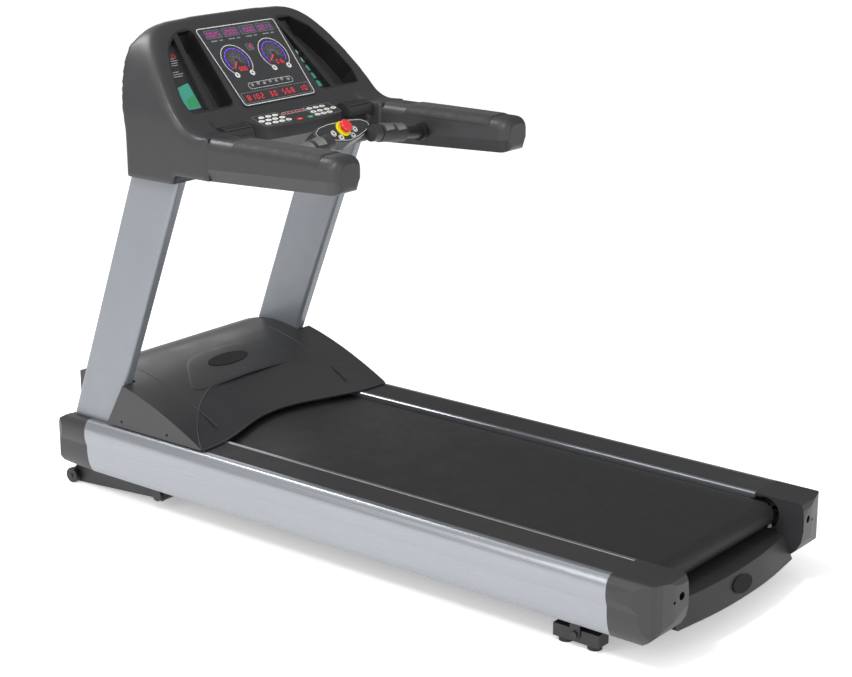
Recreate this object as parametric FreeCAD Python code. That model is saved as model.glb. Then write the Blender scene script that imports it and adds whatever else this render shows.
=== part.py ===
"""Motorised treadmill, modelled as the separate pieces that come apart on a bench.

Millimetres. +X is the user's right, +Y is forward (towards the hood and console), +Z is up.
The origin is on the floor, under the middle of the machine. Pairs are modelled on the right-hand
side (+X) and mirrored.
"""
import FreeCAD, Part
import math
import os

from FreeCAD import Vector

# ---------------------------------------------------------------- driving dimensions (mm)
# Base frame
TUBE_INNER, TUBE_OUTER = 350.0, 400.0        # |X| of the longitudinal tubes
TUBE_BOTTOM, TUBE_TOP = 112.0, 192.0
TUBE_REAR, TUBE_FRONT = -960.0, 1060.0
STEEL_WALL = 3.0
CROSS_HEIGHT, CROSS_DEPTH = 40.0, 60.0
CROSS_MEMBERS_Y = (-900.0, -300.0, 300.0, 890.0, 1005.0)

# Running deck and rollers
ROLLER_RADIUS = 33.0
ROLLER_HALF = 293.0
ROLLER_Z = 196.1
REAR_ROLLER_Y, FRONT_ROLLER_Y = -998.0, 700.0
RUNNING_GAP = 0.4                            # clearance between a belt and its rollers
BELT_THICKNESS = 2.5
BELT_HALF = 290.0
DECK_TOP = ROLLER_Z + ROLLER_RADIUS + RUNNING_GAP
DECK_THICKNESS = 25.0
DECK_HALF = 342.0
DECK_REAR, DECK_FRONT = -955.0, 640.0
CUSHION_X, CUSHION_RADIUS = 322.0, 18.0
CUSHIONS_Y = (-900.0, -600.0, -300.0, 0.0, 300.0, 600.0)
AXLE_RADIUS = 10.0
BEARING_GAP = 0.06                           # radial running clearance of plain bearings

# Side rails, step rails and their caps
RAIL_REAR, RAIL_FRONT = -965.0, 970.0
RAIL_INNER, RAIL_WIDEST = 412.0, 450.0
RAIL_BOTTOM, RAIL_TOP = 74.0, 247.0
STEP_INNER, PAD_INNER, PAD_OUTER = 302.0, 318.0, 415.0
PAD_BOTTOM = 243.0
RIB_PITCH, RIB_DEPTH = 5.0, 1.2
CAP_WALL = 3.0
CAP_REAR = -1121.0
SCOOP_RADIUS = 46.0                          # opening in each rear cap round the roller's end
APRON_REAR, APRON_LEAN, APRON_WALL = -1117.0, 27.0, 4.0
APRON_BOTTOM, APRON_TOP = 80.0, 146.0

# Hood
HOOD_REAR, HOOD_RIDGE, HOOD_FRONT = 476.0, 930.0, 1070.0
HOOD_RIDGE_Z, HOOD_RISE, HOOD_POWER = 402.0, 152.0, 1.63
HOOD_SHOULDER_DROP = 30.0
HOOD_BOTTOM = 250.0
HOOD_WALL = 3.0
SEAM_X = 299.0                               # fore-and-aft seam between hood and side covers
HOOD_NECK_HALF = 366.0                       # half-width of the hood between the uprights
COVER_OUTER = 425.0
COVER_FRONT = 874.0
VISOR_HALF = 422.0

# Uprights
UPRIGHT_INNER, UPRIGHT_OUTER = 370.0, 410.0
UPRIGHT_TOP = 1092.0
UPRIGHT_WALL = 3.0

# Console
FACE_Y, FACE_Z, FACE_SLOPE = 525.0, 1234.0, 1.133   # a point of the sloping face, and dz/dy
CONSOLE_BOTTOM, CONSOLE_BACK = 1045.0, 740.0
SHOULDER_TOP, SHOULDER_BOTTOM, SHOULDER_REAR = 1198.0, 1073.0, 408.0
CONSOLE_HALF = 437.0
ARM_INNER, ARM_OUTER = 325.0, 438.0
SHELL_WALL = 4.0

# Arms
ARM_REAR, ARM_TIP = -37.0, -74.0
ARM_PAD_REAR, ARM_PAD_FRONT, ARM_PAD_RISE = -7.0, 316.0, 3.0
ARM_TOP = 1197.0
ARM_CORNER = 34.0
ARM_WALL = 4.0

# Handlebar and control pod
BAR_RADIUS = 18.5
GRIP_RADIUS = 27.5
BAR_END = Vector(325.0, 241.0, 1126.0)
BAR_MIDDLE = Vector(0.0, 260.0, 1165.0)
POD_ORIGIN = Vector(0.0, 259.5, 1150.0)
STOP_HEIGHT = 35.0                           # up the pod's face to the stop button

# Elevation gear
LIFT_PIVOT = (708.0, 48.0)                   # Y, Z
LIFT_INNER, LIFT_OUTER = 340.0, 380.0
WHEEL_CENTRE = (1097.0, 24.0)
WHEEL_RADIUS, WHEEL_WIDTH = 24.0, 21.0
SCREW_X, SCREW_Y, SCREW_PIN_Z = 80.0, 788.0, 45.0
SCREW_RADIUS = 9.0

# Rear feet
FOOT_PIVOT = (-844.0, 37.0)
FOOT_HALF_LENGTH = 71.5
FOOT_BOTTOM, FOOT_TOP = 14.0, 50.0
FOOT_PAD_OFFSET, FOOT_PAD_RADIUS = 45.0, 20.0

# Drive
MOTOR_Y, MOTOR_Z, MOTOR_RADIUS = 915.0, 226.0, 50.0
MOTOR_LEFT, MOTOR_RIGHT = -285.0, -60.0
PULLEY_LEFT, PULLEY_RIGHT = -322.0, -302.0
ROLLER_PULLEY_RADIUS, MOTOR_PULLEY_RADIUS = 45.0, 18.0
DRIVE_BELT_THICKNESS = 4.0

# Directions on the console's sloping face
SLOPE_LENGTH = math.hypot(1.0, FACE_SLOPE)
FACE_UP = Vector(0.0, 1.0 / SLOPE_LENGTH, FACE_SLOPE / SLOPE_LENGTH)
FACE_NORMAL = Vector(0.0, -FACE_SLOPE / SLOPE_LENGTH, 1.0 / SLOPE_LENGTH)
X_AXIS, Y_AXIS, Z_AXIS = Vector(1, 0, 0), Vector(0, 1, 0), Vector(0, 0, 1)


# ---------------------------------------------------------------- shape helpers
def box(x0, x1, y0, y1, z0, z1):
    """Block between two corners."""
    return Part.makeBox(x1 - x0, y1 - y0, z1 - z0, Vector(x0, y0, z0))


def cylinder_x(x0, x1, y, z, radius):
    """Round bar along X."""
    return Part.makeCylinder(radius, x1 - x0, Vector(x0, y, z), X_AXIS)


def cylinder_y(x, y0, y1, z, radius):
    """Round bar along Y."""
    return Part.makeCylinder(radius, y1 - y0, Vector(x, y0, z), Y_AXIS)


def cylinder_z(x, y, z0, z1, radius):
    """Round bar along Z."""
    return Part.makeCylinder(radius, z1 - z0, Vector(x, y, z0), Z_AXIS)


def rod(start, end, radius):
    """Round bar between two points."""
    span = end.sub(start)
    return Part.makeCylinder(radius, span.Length, start, span)


def prism(points, sweep):
    """Closed polygon swept along a vector."""
    wire = Part.makePolygon(list(points) + [points[0]])
    return Part.Face(wire).extrude(sweep)


def prism_x(outline, x0, x1):
    """Outline of (y, z) points swept along X."""
    return prism([Vector(x0, y, z) for y, z in outline], Vector(x1 - x0, 0, 0))


def prism_y(outline, y0, y1):
    """Outline of (x, z) points swept along Y."""
    return prism([Vector(x, y0, z) for x, z in outline], Vector(0, y1 - y0, 0))


def prism_z(outline, z0, z1):
    """Outline of (x, y) points swept along Z."""
    return prism([Vector(x, y, z0) for x, y in outline], Vector(0, 0, z1 - z0))


def smooth_edge(points):
    """Smooth curve through points."""
    curve = Part.BSplineCurve()
    curve.interpolate(points)
    return curve.toShape()


def closed_face(curve_points, corner_points):
    """Face bounded by one smooth curve and a run of straight lines back to its start."""
    corners = [curve_points[-1]] + list(corner_points) + [curve_points[0]]
    edges = [smooth_edge(curve_points)]
    edges += [Part.makeLine(a, b) for a, b in zip(corners, corners[1:])]
    return Part.Face(Part.Wire(edges))


def mirrored(shape):
    """The same piece on the other side of the machine."""
    return shape.mirror(Vector(0, 0, 0), X_AXIS)


def both_sides(*shapes):
    """Right-hand pieces and their left-hand twins, as one list."""
    return [twin for shape in shapes for twin in (shape, mirrored(shape))]


def fuse(*shapes):
    """One solid from touching or overlapping shapes."""
    return shapes[0].multiFuse(list(shapes[1:])).removeSplitter()


def rounded(shape, radius, chosen):
    """Round the edges for which chosen(edge) is true."""
    return shape.makeFillet(radius, [edge for edge in shape.Edges if chosen(edge)])


def runs_along(edge, axis, tolerance=0.02):
    """True for a straight edge along an axis."""
    span = edge.Vertexes[-1].Point.sub(edge.Vertexes[0].Point)
    return span.Length > 1.0 and abs(abs(span.normalize().dot(axis)) - 1.0) < tolerance


def export(node, *solids):
    """Write one node: a single piece, or a group of pieces."""
    shape = solids[0] if len(solids) == 1 else Part.makeCompound(list(solids))
    shape.exportStep(f"parts/{node}.step")


def tube_box(x0, x1, y0, y1, z0, z1, wall, axis):
    """Rectangular hollow section, open at its two ends along the axis (X or Y)."""
    along_x = axis is X_AXIS
    inner = box(x0 if along_x else x0 + wall, x1 if along_x else x1 - wall,
                y0 + wall if along_x else y0, y1 - wall if along_x else y1,
                z0 + wall, z1 - wall)
    return box(x0, x1, y0, y1, z0, z1).cut(inner)


def belt_outline(first, first_radius, second, second_radius, x):
    """Face bounded by a belt's line round two pulleys at (y, z), at one X."""
    dy, dz = second[0] - first[0], second[1] - first[1]
    heading = math.atan2(dz, dy)
    spread = math.acos((first_radius - second_radius) / math.hypot(dy, dz))

    def rim(centre, radius, angle):
        return Vector(x, centre[0] + radius * math.cos(angle), centre[1] + radius * math.sin(angle))

    above, below = heading + spread, heading - spread
    far_side = heading + math.pi
    edges = [Part.makeLine(rim(first, first_radius, above), rim(second, second_radius, above)),
             Part.Arc(rim(second, second_radius, above), rim(second, second_radius, heading),
                      rim(second, second_radius, below)).toShape(),
             Part.makeLine(rim(second, second_radius, below), rim(first, first_radius, below)),
             Part.Arc(rim(first, first_radius, below), rim(first, first_radius, far_side),
                      rim(first, first_radius, above)).toShape()]
    return Part.Face(Part.Wire(edges))


def belt_loop(first, first_radius, second, second_radius, thickness, x0, x1):
    """Endless belt round two pulleys."""
    sweep = Vector(x1 - x0, 0, 0)
    outer = belt_outline(first, first_radius + thickness, second, second_radius + thickness, x0)
    inner = belt_outline(first, first_radius, second, second_radius, x0)
    return outer.extrude(sweep).cut(inner.extrude(sweep))


def on_face(x, up, out=0.0):
    """Point on the console's sloping face: across, up the slope, and out of it."""
    return Vector(x, FACE_Y, FACE_Z).add(FACE_UP * up).add(FACE_NORMAL * out)


def face_prism(outline, bottom, top):
    """Outline of (x, up) points on the console's face, swept between two heights out of it."""
    return prism([on_face(x, up, bottom) for x, up in outline], FACE_NORMAL * (top - bottom))


def slope_up(y):
    """Distance up the console's face of the line that lies at one Y."""
    return (y - FACE_Y) * SLOPE_LENGTH


# ---------------------------------------------------------------- base frame
def frame_weldment():
    """Two longitudinal steel tubes and the cross members between them."""
    rails = both_sides(tube_box(TUBE_INNER, TUBE_OUTER, TUBE_REAR, TUBE_FRONT,
                                TUBE_BOTTOM, TUBE_TOP, STEEL_WALL, Y_AXIS))
    cross = [tube_box(-TUBE_INNER, TUBE_INNER, y - CROSS_DEPTH / 2, y + CROSS_DEPTH / 2,
                      TUBE_BOTTOM, TUBE_BOTTOM + CROSS_HEIGHT, STEEL_WALL, X_AXIS)
             for y in CROSS_MEMBERS_Y]
    return rails + cross


def deck_brackets():
    """Ledges on the tubes that carry the deck's cushions."""
    seat = DECK_TOP - DECK_THICKNESS - 20.0
    return [piece for y in CUSHIONS_Y
            for piece in both_sides(box(TUBE_INNER - 50, TUBE_INNER, y - 30, y + 30, seat - 5, seat))]


def roller_guides():
    """Plates that hold the axles; the rear ones are slotted, with lugs for the tension bolts."""
    inner, outer = TUBE_INNER - 7, TUBE_INNER
    floor = TUBE_BOTTOM + CROSS_HEIGHT + 1
    rear = prism_x([(-1050, floor), (-1050, 225), (-967, 225), (-967, TUBE_TOP - 1),
                    (-935, TUBE_TOP - 1), (-935, floor)], inner, outer)
    slot = box(inner - 1, outer + 1, -1060, -975, ROLLER_Z - AXLE_RADIUS - 0.3,
               ROLLER_Z + AXLE_RADIUS + 0.3)
    lug = box(320, inner, -958, -946, ROLLER_Z - 12, ROLLER_Z + 6)
    bolt_hole = cylinder_y(332, -960, -940, ROLLER_Z, 5.0)
    front = box(inner, outer, FRONT_ROLLER_Y - 22, FRONT_ROLLER_Y + 22, floor, 218)
    front_bore = cylinder_x(inner - 1, outer + 1, FRONT_ROLLER_Y, ROLLER_Z, AXLE_RADIUS)
    return both_sides(rear.cut(slot), lug.cut(bolt_hole), front.cut(front_bore))


def upright_brackets():
    """Angle brackets that bolt the uprights to the tubes."""
    wall = box(HOOD_NECK_HALF + 0.2, UPRIGHT_INNER, 900, 1000, TUBE_TOP, 330)
    flange = box(TUBE_INNER, HOOD_NECK_HALF + 0.2, 900, 1000, TUBE_TOP, TUBE_TOP + 6)
    return both_sides(fuse(wall, flange))


def lift_hangers():
    """Plates under the tubes that carry the elevation arm's pivots, and the pivot pins."""
    y, z = LIFT_PIVOT
    outline = [(y - 34, TUBE_BOTTOM), (y - 20, z - 14), (y - 12, z - 20), (y + 12, z - 20),
               (y + 20, z - 14), (y + 34, TUBE_BOTTOM)]
    outer = prism_x(outline, 384, 390)
    inner = prism_x(outline, 330, 336)
    tie = box(330, TUBE_INNER, y - 34, y + 34, TUBE_BOTTOM, TUBE_BOTTOM + 6)
    pin = cylinder_x(328, 402, y, z, 8.0)
    boss = cylinder_x(390, 402, y, z, 18.5)
    return both_sides(fuse(outer, pin, boss, inner, tie))


def foot_hangers():
    """Pairs of tabs that carry the rear feet, and their pivot bolts."""
    y, z = FOOT_PIVOT
    outline = [(y - 16, TUBE_BOTTOM + 40), (y - 16, z), (y - 10, z - 13), (y + 10, z - 13),
               (y + 16, z), (y + 16, TUBE_BOTTOM + 40)]
    outer = prism_x(outline, TUBE_OUTER, TUBE_OUTER + 4)
    inner = prism_x(outline, TUBE_INNER - 4, TUBE_INNER)
    bolt = cylinder_x(TUBE_INNER - 10, TUBE_OUTER + 6, y, z, 6.0)
    head = Part.makeCylinder(9.5, 6.0, Vector(TUBE_OUTER + 4, y, z), X_AXIS)
    return both_sides(fuse(outer, bolt, head, inner))


def motor_bracket():
    """Plate and two saddles under the drive motor, and the plate under the controller."""
    plate = box(MOTOR_LEFT, -50, 862, 1035, TUBE_BOTTOM + CROSS_HEIGHT, 157)
    bore = cylinder_x(MOTOR_LEFT - 1, MOTOR_RIGHT + 1, MOTOR_Y, MOTOR_Z, MOTOR_RADIUS)
    saddles = [box(x, x + 24, MOTOR_Y - 34, MOTOR_Y + 34, 157, 196).cut(bore)
               for x in (MOTOR_LEFT + 25, MOTOR_RIGHT - 49)]
    controller_plate = box(130, 300, 862, 1035, TUBE_BOTTOM + CROSS_HEIGHT, 157)
    return [fuse(plate, *saddles), controller_plate]


def lift_motor_ears():
    """Two ears that stand on the cross member and hold the elevation motor's upper pin."""
    outline = [(862, 152), (918, 152), (906, 190), (812, 346), (776, 346), (776, 316), (862, 180)]
    pin_hole = cylinder_x(40, 120, SCREW_Y, 330, 6.0)
    return [prism_x(outline, x, x + 6).cut(pin_hole) for x in (50, 104)]


def frame_brackets():
    """Every bracket that is welded to the frame."""
    return (deck_brackets() + roller_guides() + upright_brackets() + lift_hangers()
            + foot_hangers() + motor_bracket() + lift_motor_ears())


# ---------------------------------------------------------------- deck, belt and rollers
def deck_board():
    """Waxed board under the running belt."""
    board = box(-DECK_HALF, DECK_HALF, DECK_REAR, DECK_FRONT, DECK_TOP - DECK_THICKNESS, DECK_TOP)
    holes = [cylinder_z(side * CUSHION_X, y, DECK_TOP - 30, DECK_TOP + 1, 4.0)
             for y in CUSHIONS_Y for side in (-1, 1)]
    return board.cut(Part.makeCompound(holes))


def deck_cushions():
    """Rubber rings between the deck and its ledges."""
    top = DECK_TOP - DECK_THICKNESS
    return [cylinder_z(side * CUSHION_X, y, top - 20, top, CUSHION_RADIUS)
            .cut(cylinder_z(side * CUSHION_X, y, top - 21, top + 1, 4.0))
            for y in CUSHIONS_Y for side in (-1, 1)]


def running_belt():
    """Endless running belt, at rest round both rollers."""
    radius = ROLLER_RADIUS + RUNNING_GAP
    return belt_loop((REAR_ROLLER_Y, ROLLER_Z), radius, (FRONT_ROLLER_Y, ROLLER_Z), radius,
                     BELT_THICKNESS, -BELT_HALF, BELT_HALF)


def roller_tube(y):
    """Steel roller with a plain bearing in each end."""
    tube = cylinder_x(-ROLLER_HALF, ROLLER_HALF, y, ROLLER_Z, ROLLER_RADIUS)
    hollow = cylinder_x(-ROLLER_HALF + 16, ROLLER_HALF - 16, y, ROLLER_Z, ROLLER_RADIUS - 4)
    bore = cylinder_x(-ROLLER_HALF - 1, ROLLER_HALF + 1, y, ROLLER_Z, AXLE_RADIUS + BEARING_GAP)
    return tube.cut(hollow).cut(bore)


def front_roller():
    """Front roller, with the pulley that drives it on its left-hand end."""
    y = FRONT_ROLLER_Y
    pulley = cylinder_x(PULLEY_LEFT, PULLEY_RIGHT, y, ROLLER_Z, ROLLER_PULLEY_RADIUS)
    neck = cylinder_x(PULLEY_RIGHT, -ROLLER_HALF, y, ROLLER_Z, AXLE_RADIUS + 8)
    bore = cylinder_x(PULLEY_LEFT - 1, -ROLLER_HALF + 1, y, ROLLER_Z, AXLE_RADIUS + BEARING_GAP)
    return fuse(roller_tube(y), neck.cut(bore), pulley.cut(bore))


def roller_axles():
    """Fixed axles that the rollers turn on."""
    rear = cylinder_x(-348, 348, REAR_ROLLER_Y, ROLLER_Z, AXLE_RADIUS)
    holes = [cylinder_y(side * 332, REAR_ROLLER_Y - 20, REAR_ROLLER_Y + 20, ROLLER_Z, 5.0)
             for side in (-1, 1)]
    front = cylinder_x(-348, 348, FRONT_ROLLER_Y, ROLLER_Z, AXLE_RADIUS)
    return [rear.cut(Part.makeCompound(holes)), front]


# ---------------------------------------------------------------- rails and caps
def rail_outline(inner=RAIL_INNER):
    """Outer (x, z) outline of a side rail: two bowed lobes with a groove between them."""
    upper = [Vector(431, 0, 245), Vector(442, 0, 234), Vector(449, 0, 212), Vector(449, 0, 190),
             Vector(443, 0, 168)]
    lower = [Vector(441.5, 0, 163), Vector(441, 0, 140), Vector(438, 0, 116), Vector(431, 0, 93),
             Vector(419, 0, RAIL_BOTTOM)]
    edges = [Part.makeLine(Vector(PAD_OUTER, 0, RAIL_TOP), Vector(424, 0, RAIL_TOP)),
             Part.makeLine(Vector(424, 0, RAIL_TOP), upper[0]),
             smooth_edge(upper),
             Part.makeLine(upper[-1], lower[0]),
             smooth_edge(lower),
             Part.makeLine(lower[-1], Vector(inner, 0, RAIL_BOTTOM)),
             Part.makeLine(Vector(inner, 0, RAIL_BOTTOM), Vector(inner, 0, PAD_BOTTOM)),
             Part.makeLine(Vector(inner, 0, PAD_BOTTOM), Vector(PAD_OUTER, 0, PAD_BOTTOM)),
             Part.makeLine(Vector(PAD_OUTER, 0, PAD_BOTTOM), Vector(PAD_OUTER, 0, RAIL_TOP))]
    return Part.Face(Part.Wire(edges))


def side_rail():
    """Right-hand aluminium side rail, a hollow extrusion with one inner web."""
    bar = rail_outline().extrude(Vector(0, RAIL_FRONT - RAIL_REAR, 0))
    upper_hollow = prism_y([(415, 178), (440, 178), (445.5, 195), (445, 212), (438, 233),
                            (428, 239), (415, 239)], 0, RAIL_FRONT - RAIL_REAR)
    lower_hollow = prism_y([(415, 78), (418, 78), (428, 95), (434.5, 118), (437.5, 142),
                            (438, 172), (415, 172)], 0, RAIL_FRONT - RAIL_REAR)
    bar = bar.cut(upper_hollow).cut(lower_hollow)
    bar.translate(Vector(0, RAIL_REAR, 0))
    return bar


def step_rail():
    """Right-hand extrusion that carries the step pad and covers the belt's edge."""
    outer = [(302, 230.5), (302, 244), (305, 247), (315, 247), (318, 244), (318, PAD_BOTTOM),
             (RAIL_INNER, PAD_BOTTOM), (RAIL_INNER, TUBE_TOP), (346, TUBE_TOP), (346, 230.5)]
    hollow = [(349, 195), (349, 239), (409, 239), (409, 195)]
    return prism_y(outer, RAIL_REAR, DECK_FRONT).cut(prism_y(hollow, RAIL_REAR, DECK_FRONT))


def step_pad():
    """Right-hand ribbed plastic step pad."""
    outline = [(PAD_INNER + 0.3, PAD_BOTTOM)]
    x = PAD_INNER + 1.0
    outline.append((PAD_INNER + 0.3, RAIL_TOP - RIB_DEPTH))
    while x + RIB_PITCH < PAD_OUTER - 1.0:
        outline += [(x, RAIL_TOP - RIB_DEPTH), (x + 0.6, RAIL_TOP),
                    (x + RIB_PITCH - 2.2, RAIL_TOP), (x + RIB_PITCH - 1.6, RAIL_TOP - RIB_DEPTH)]
        x += RIB_PITCH
    outline += [(PAD_OUTER - 0.3, RAIL_TOP - RIB_DEPTH), (PAD_OUTER - 0.3, PAD_BOTTOM)]
    return prism_y(outline, RAIL_REAR, DECK_FRONT)


def front_cap():
    """Right-hand plastic cap on the front ends of the rail and frame tube."""
    side = [(RAIL_FRONT, 76), (1047, 80), (1096, 86), (1109, 108), (1112, 142), (1110, 180),
            (1103, 211), (1090, 231), (1070, 243), (1045, RAIL_TOP), (RAIL_FRONT, RAIL_TOP)]
    plan = [(345, RAIL_FRONT - 1), (345, 1120), (418, 1120), (438, 1100), (452, 1070),
            (452, RAIL_FRONT - 1)]
    section = rail_outline(345.0).extrude(Vector(0, 200, 0))
    section.translate(Vector(0, RAIL_FRONT - 10, 0))
    section = fuse(section, box(345, 424, RAIL_FRONT - 10, RAIL_FRONT + 190, PAD_BOTTOM - 2, RAIL_TOP))
    body = prism_x(side, 340, 455).common(prism_z(plan, 60, 260)).common(section)
    body = body.cut(box(340, RAIL_INNER, RAIL_FRONT - 5, 1082, 60, 260))
    hollow = box(RAIL_INNER + CAP_WALL, 436, RAIL_FRONT - 5, 1076, 84, 236)
    return body.cut(hollow.common(inset_section(RAIL_FRONT - 10, 200)))


def inset_section(start, length):
    """The side rail's outline drawn one cap wall further in, as a bar."""
    outline = [(300, 81), (415, 81), (427, 95), (434, 118), (437, 142), (438, 170), (445, 190),
               (445, 212), (438, 232), (427, 242), (300, 242)]
    return prism_y(outline, start, start + length)


def rear_cap_bar(wall):
    """Rear cap's form, drawn in by a wall: its plan and its bulging side view, crossed."""
    plan = [(303 + wall, RAIL_REAR + 60), (303 + wall, CAP_REAR + wall), (360, CAP_REAR + 5 + wall),
            (405 - wall / 2, CAP_REAR + 13 + wall), (424 - wall, CAP_REAR + 21 + wall),
            (433 - wall, CAP_REAR + 31 + wall), (438 - wall, CAP_REAR + 51),
            (447 - wall, CAP_REAR + 81), (452 - wall, RAIL_REAR + 60)]
    bulge = [(CAP_REAR + offset + wall, z) for offset, z in
             ((14, RAIL_TOP + 1), (9, 243), (3, 228), (0, 200), (0, 165), (6, 132), (20, 107),
              (38, 90), (62, RAIL_BOTTOM - 1))]
    side = bulge + [(RAIL_REAR + 60, RAIL_BOTTOM - 1), (RAIL_REAR + 60, RAIL_TOP + 1)]
    return prism_z(plan, RAIL_BOTTOM - 1, RAIL_TOP + 1).common(prism_x(side, 300, 455))


def rear_cap():
    """Right-hand plastic cap on the rear ends of the rails, open towards the front."""
    section = rail_outline(303.0).extrude(Vector(0, 170, 0))
    section.translate(Vector(0, RAIL_REAR - 165, 0))
    section = fuse(section, box(303, 424, RAIL_REAR - 165, RAIL_REAR, PAD_BOTTOM - 1, RAIL_TOP))
    body = rear_cap_bar(0.0).common(section).common(box(300, 455, -1200, RAIL_REAR, 70, RAIL_TOP))
    hollow = rear_cap_bar(CAP_WALL).common(inset_section(RAIL_REAR - 165, 170))
    scoop = fuse(cylinder_x(300, 308, REAR_ROLLER_Y, ROLLER_Z, SCOOP_RADIUS),
                 box(300, 308, REAR_ROLLER_Y, RAIL_REAR + 1, ROLLER_Z - SCOOP_RADIUS, RAIL_TOP - 8))
    bolt_access = cylinder_y(332, -1140, -1040, ROLLER_Z, 11.0)
    screw_hole = cylinder_y(362, -1140, -1040, 186, 4.5)
    return body.cut(hollow).cut(scoop).cut(bolt_access).cut(screw_hole)


def apron_line(offset, z):
    """Apron's curved outer line across the machine, moved forward, at one height."""
    right = [(302, -1092), (250, -1099), (150, -1111), (0, APRON_REAR)]
    points = right + [(-x, y) for x, y in reversed(right[:-1])]
    return [Vector(x, y + offset, z) for x, y in points]


def apron_plate(offset, z, height, front):
    """Flat plate from the apron's line forward to one Y."""
    corners = [Vector(-302, front, z), Vector(302, front, z)]
    return closed_face(apron_line(offset, z), corners).extrude(Vector(0, 0, height))


def rear_apron():
    """Curved plastic apron between the rear caps, with a shelf under the belt and a bottom lip."""
    outer, inner = apron_line(0, APRON_BOTTOM), apron_line(APRON_WALL, APRON_BOTTOM)[::-1]
    edges = [smooth_edge(outer), Part.makeLine(outer[-1], inner[0]), smooth_edge(inner),
             Part.makeLine(inner[-1], outer[0])]
    wall = Part.Face(Part.Wire(edges)).extrude(Vector(0, APRON_LEAN, APRON_TOP - APRON_BOTTOM))
    shelf = apron_plate(APRON_LEAN + 1, APRON_TOP - 3, 3, RAIL_REAR)
    lip = apron_plate(1, APRON_BOTTOM, 4, -1040)
    return fuse(wall, shelf, lip)


# ---------------------------------------------------------------- hood
def hood_height(y):
    """Height of the hood's upper surface at one Y."""
    if y > HOOD_RIDGE:
        return HOOD_RIDGE_Z - HOOD_SHOULDER_DROP * ((y - HOOD_RIDGE) / (HOOD_FRONT - HOOD_RIDGE)) ** 2
    run = (HOOD_RIDGE - y) / (HOOD_RIDGE - HOOD_REAR)
    return HOOD_RIDGE_Z - HOOD_RISE * run ** HOOD_POWER


def hood_block(x0, x1, y0, y1, bottom, inset=0.0):
    """Everything under the hood's surface between two X and two Y."""
    count = 24
    reach = HOOD_FRONT - HOOD_REAR
    curve = [Vector(x0, y, hood_height(y) - inset)
             for y in (HOOD_REAR + reach * i / count for i in range(count + 1))]
    corners = [Vector(x0, HOOD_FRONT, 90.0), Vector(x0, HOOD_REAR, 90.0)]
    block = closed_face(curve, corners).extrude(Vector(x1 - x0, 0, 0))
    return block.common(box(x0, x1, y0, y1, bottom, 500))


def visor_top(angle):
    """Point on the line where the visor meets the hood."""
    y = HOOD_REAR + 4 + 240.0 * max(math.cos(angle), 0.0) ** 1.64
    return Vector(VISOR_HALF * math.sin(angle), y, hood_height(y))


def visor_bottom(angle):
    """Point on the visor's lower edge, over the running belt."""
    y = HOOD_REAR + 2 + 92.0 * max(math.cos(angle), 0.0) ** 5.5
    return Vector(VISOR_HALF * math.sin(angle), y, HOOD_BOTTOM)


def visor_angles():
    """Angles that step across the visor, closer together at its tips."""
    count = 20
    return [math.radians(85.0) * math.sin(math.pi / 2 * (2 * i / count - 1)) for i in range(count + 1)]


def hood_keep_out():
    """Plan region behind the visor's upper line, which the hood and its covers leave free."""
    line = [Vector(point.x, point.y, 0) for point in map(visor_top, visor_angles())]
    corners = [Vector(VISOR_HALF + 20, line[-1].y, 0), Vector(VISOR_HALF + 20, 300, 0),
               Vector(-VISOR_HALF - 20, 300, 0), Vector(-VISOR_HALF - 20, line[0].y, 0)]
    return closed_face(line, corners).extrude(Vector(0, 0, 600))


def hood():
    """Central motor hood, with the neck between the uprights and the front wall."""
    wall, neck_bottom = HOOD_WALL, TUBE_TOP + 8
    middle = hood_block(-SEAM_X, SEAM_X, 600, COVER_FRONT + 1, HOOD_BOTTOM)
    neck = hood_block(-HOOD_NECK_HALF, HOOD_NECK_HALF, COVER_FRONT + 0.5, HOOD_FRONT, neck_bottom)
    inside_middle = hood_block(-SEAM_X - 1, SEAM_X + 1, 599, COVER_FRONT + 2, 100, wall)
    inside_neck = hood_block(-HOOD_NECK_HALF + wall, HOOD_NECK_HALF - wall, COVER_FRONT - 10,
                             HOOD_FRONT - wall, 100, wall)
    shell = fuse(middle, neck).cut(inside_middle).cut(inside_neck)
    front_wall = box(-344, 344, HOOD_FRONT - wall, HOOD_FRONT, TUBE_BOTTOM, neck_bottom + 1)
    inlet_window = box(-256, -174, HOOD_FRONT - 5, HOOD_FRONT + 5, 134, 176)
    return fuse(shell, front_wall).cut(inlet_window).cut(hood_keep_out())


def hood_visor():
    """Crescent visor that drops from the hood to the running belt."""
    seam = Vector(0, -0.4, -0.3)
    upper = smooth_edge([visor_top(a) + seam for a in visor_angles()])
    lower = smooth_edge([visor_bottom(a) for a in visor_angles()])
    return Part.makeRuledSurface(upper, lower).extrude(Vector(0, 0, -HOOD_WALL))


def hood_cover():
    """Right-hand side cover, from the visor to the upright and down to the rail."""
    wall, split = HOOD_WALL, HOOD_NECK_HALF + 1
    slant = [(400, HOOD_BOTTOM - 60), (925, HOOD_BOTTOM - 60), (891, HOOD_BOTTOM), (800, 411),
             (780, 460), (400, 460)]
    wing = hood_block(split, COVER_OUTER, HOOD_REAR + 4, 892, HOOD_BOTTOM)
    wing = wing.common(prism_x(slant, 300, 430))
    inner = hood_block(SEAM_X + 0.5, split, HOOD_REAR + 4, COVER_FRONT, HOOD_BOTTOM)
    hollow = hood_block(SEAM_X - 1, COVER_OUTER - wall, HOOD_REAR, 900, 200, wall)
    return fuse(wing, inner).cut(hollow).cut(hood_keep_out())


def hood_badge():
    """Plain oval plate on the hood."""
    oval = Part.Ellipse(Vector(0, 0, 0), 86.0, 30.0)
    tilt = math.degrees(math.atan2(hood_height(800) - hood_height(760), 40.0))
    plate = Part.Face(Part.Wire(oval.toShape())).extrude(Vector(0, 0, 3))
    plate.rotate(Vector(0, 0, 0), X_AXIS, tilt)
    plate.translate(Vector(0, 780, hood_height(780) + 0.4))
    return plate


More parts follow.
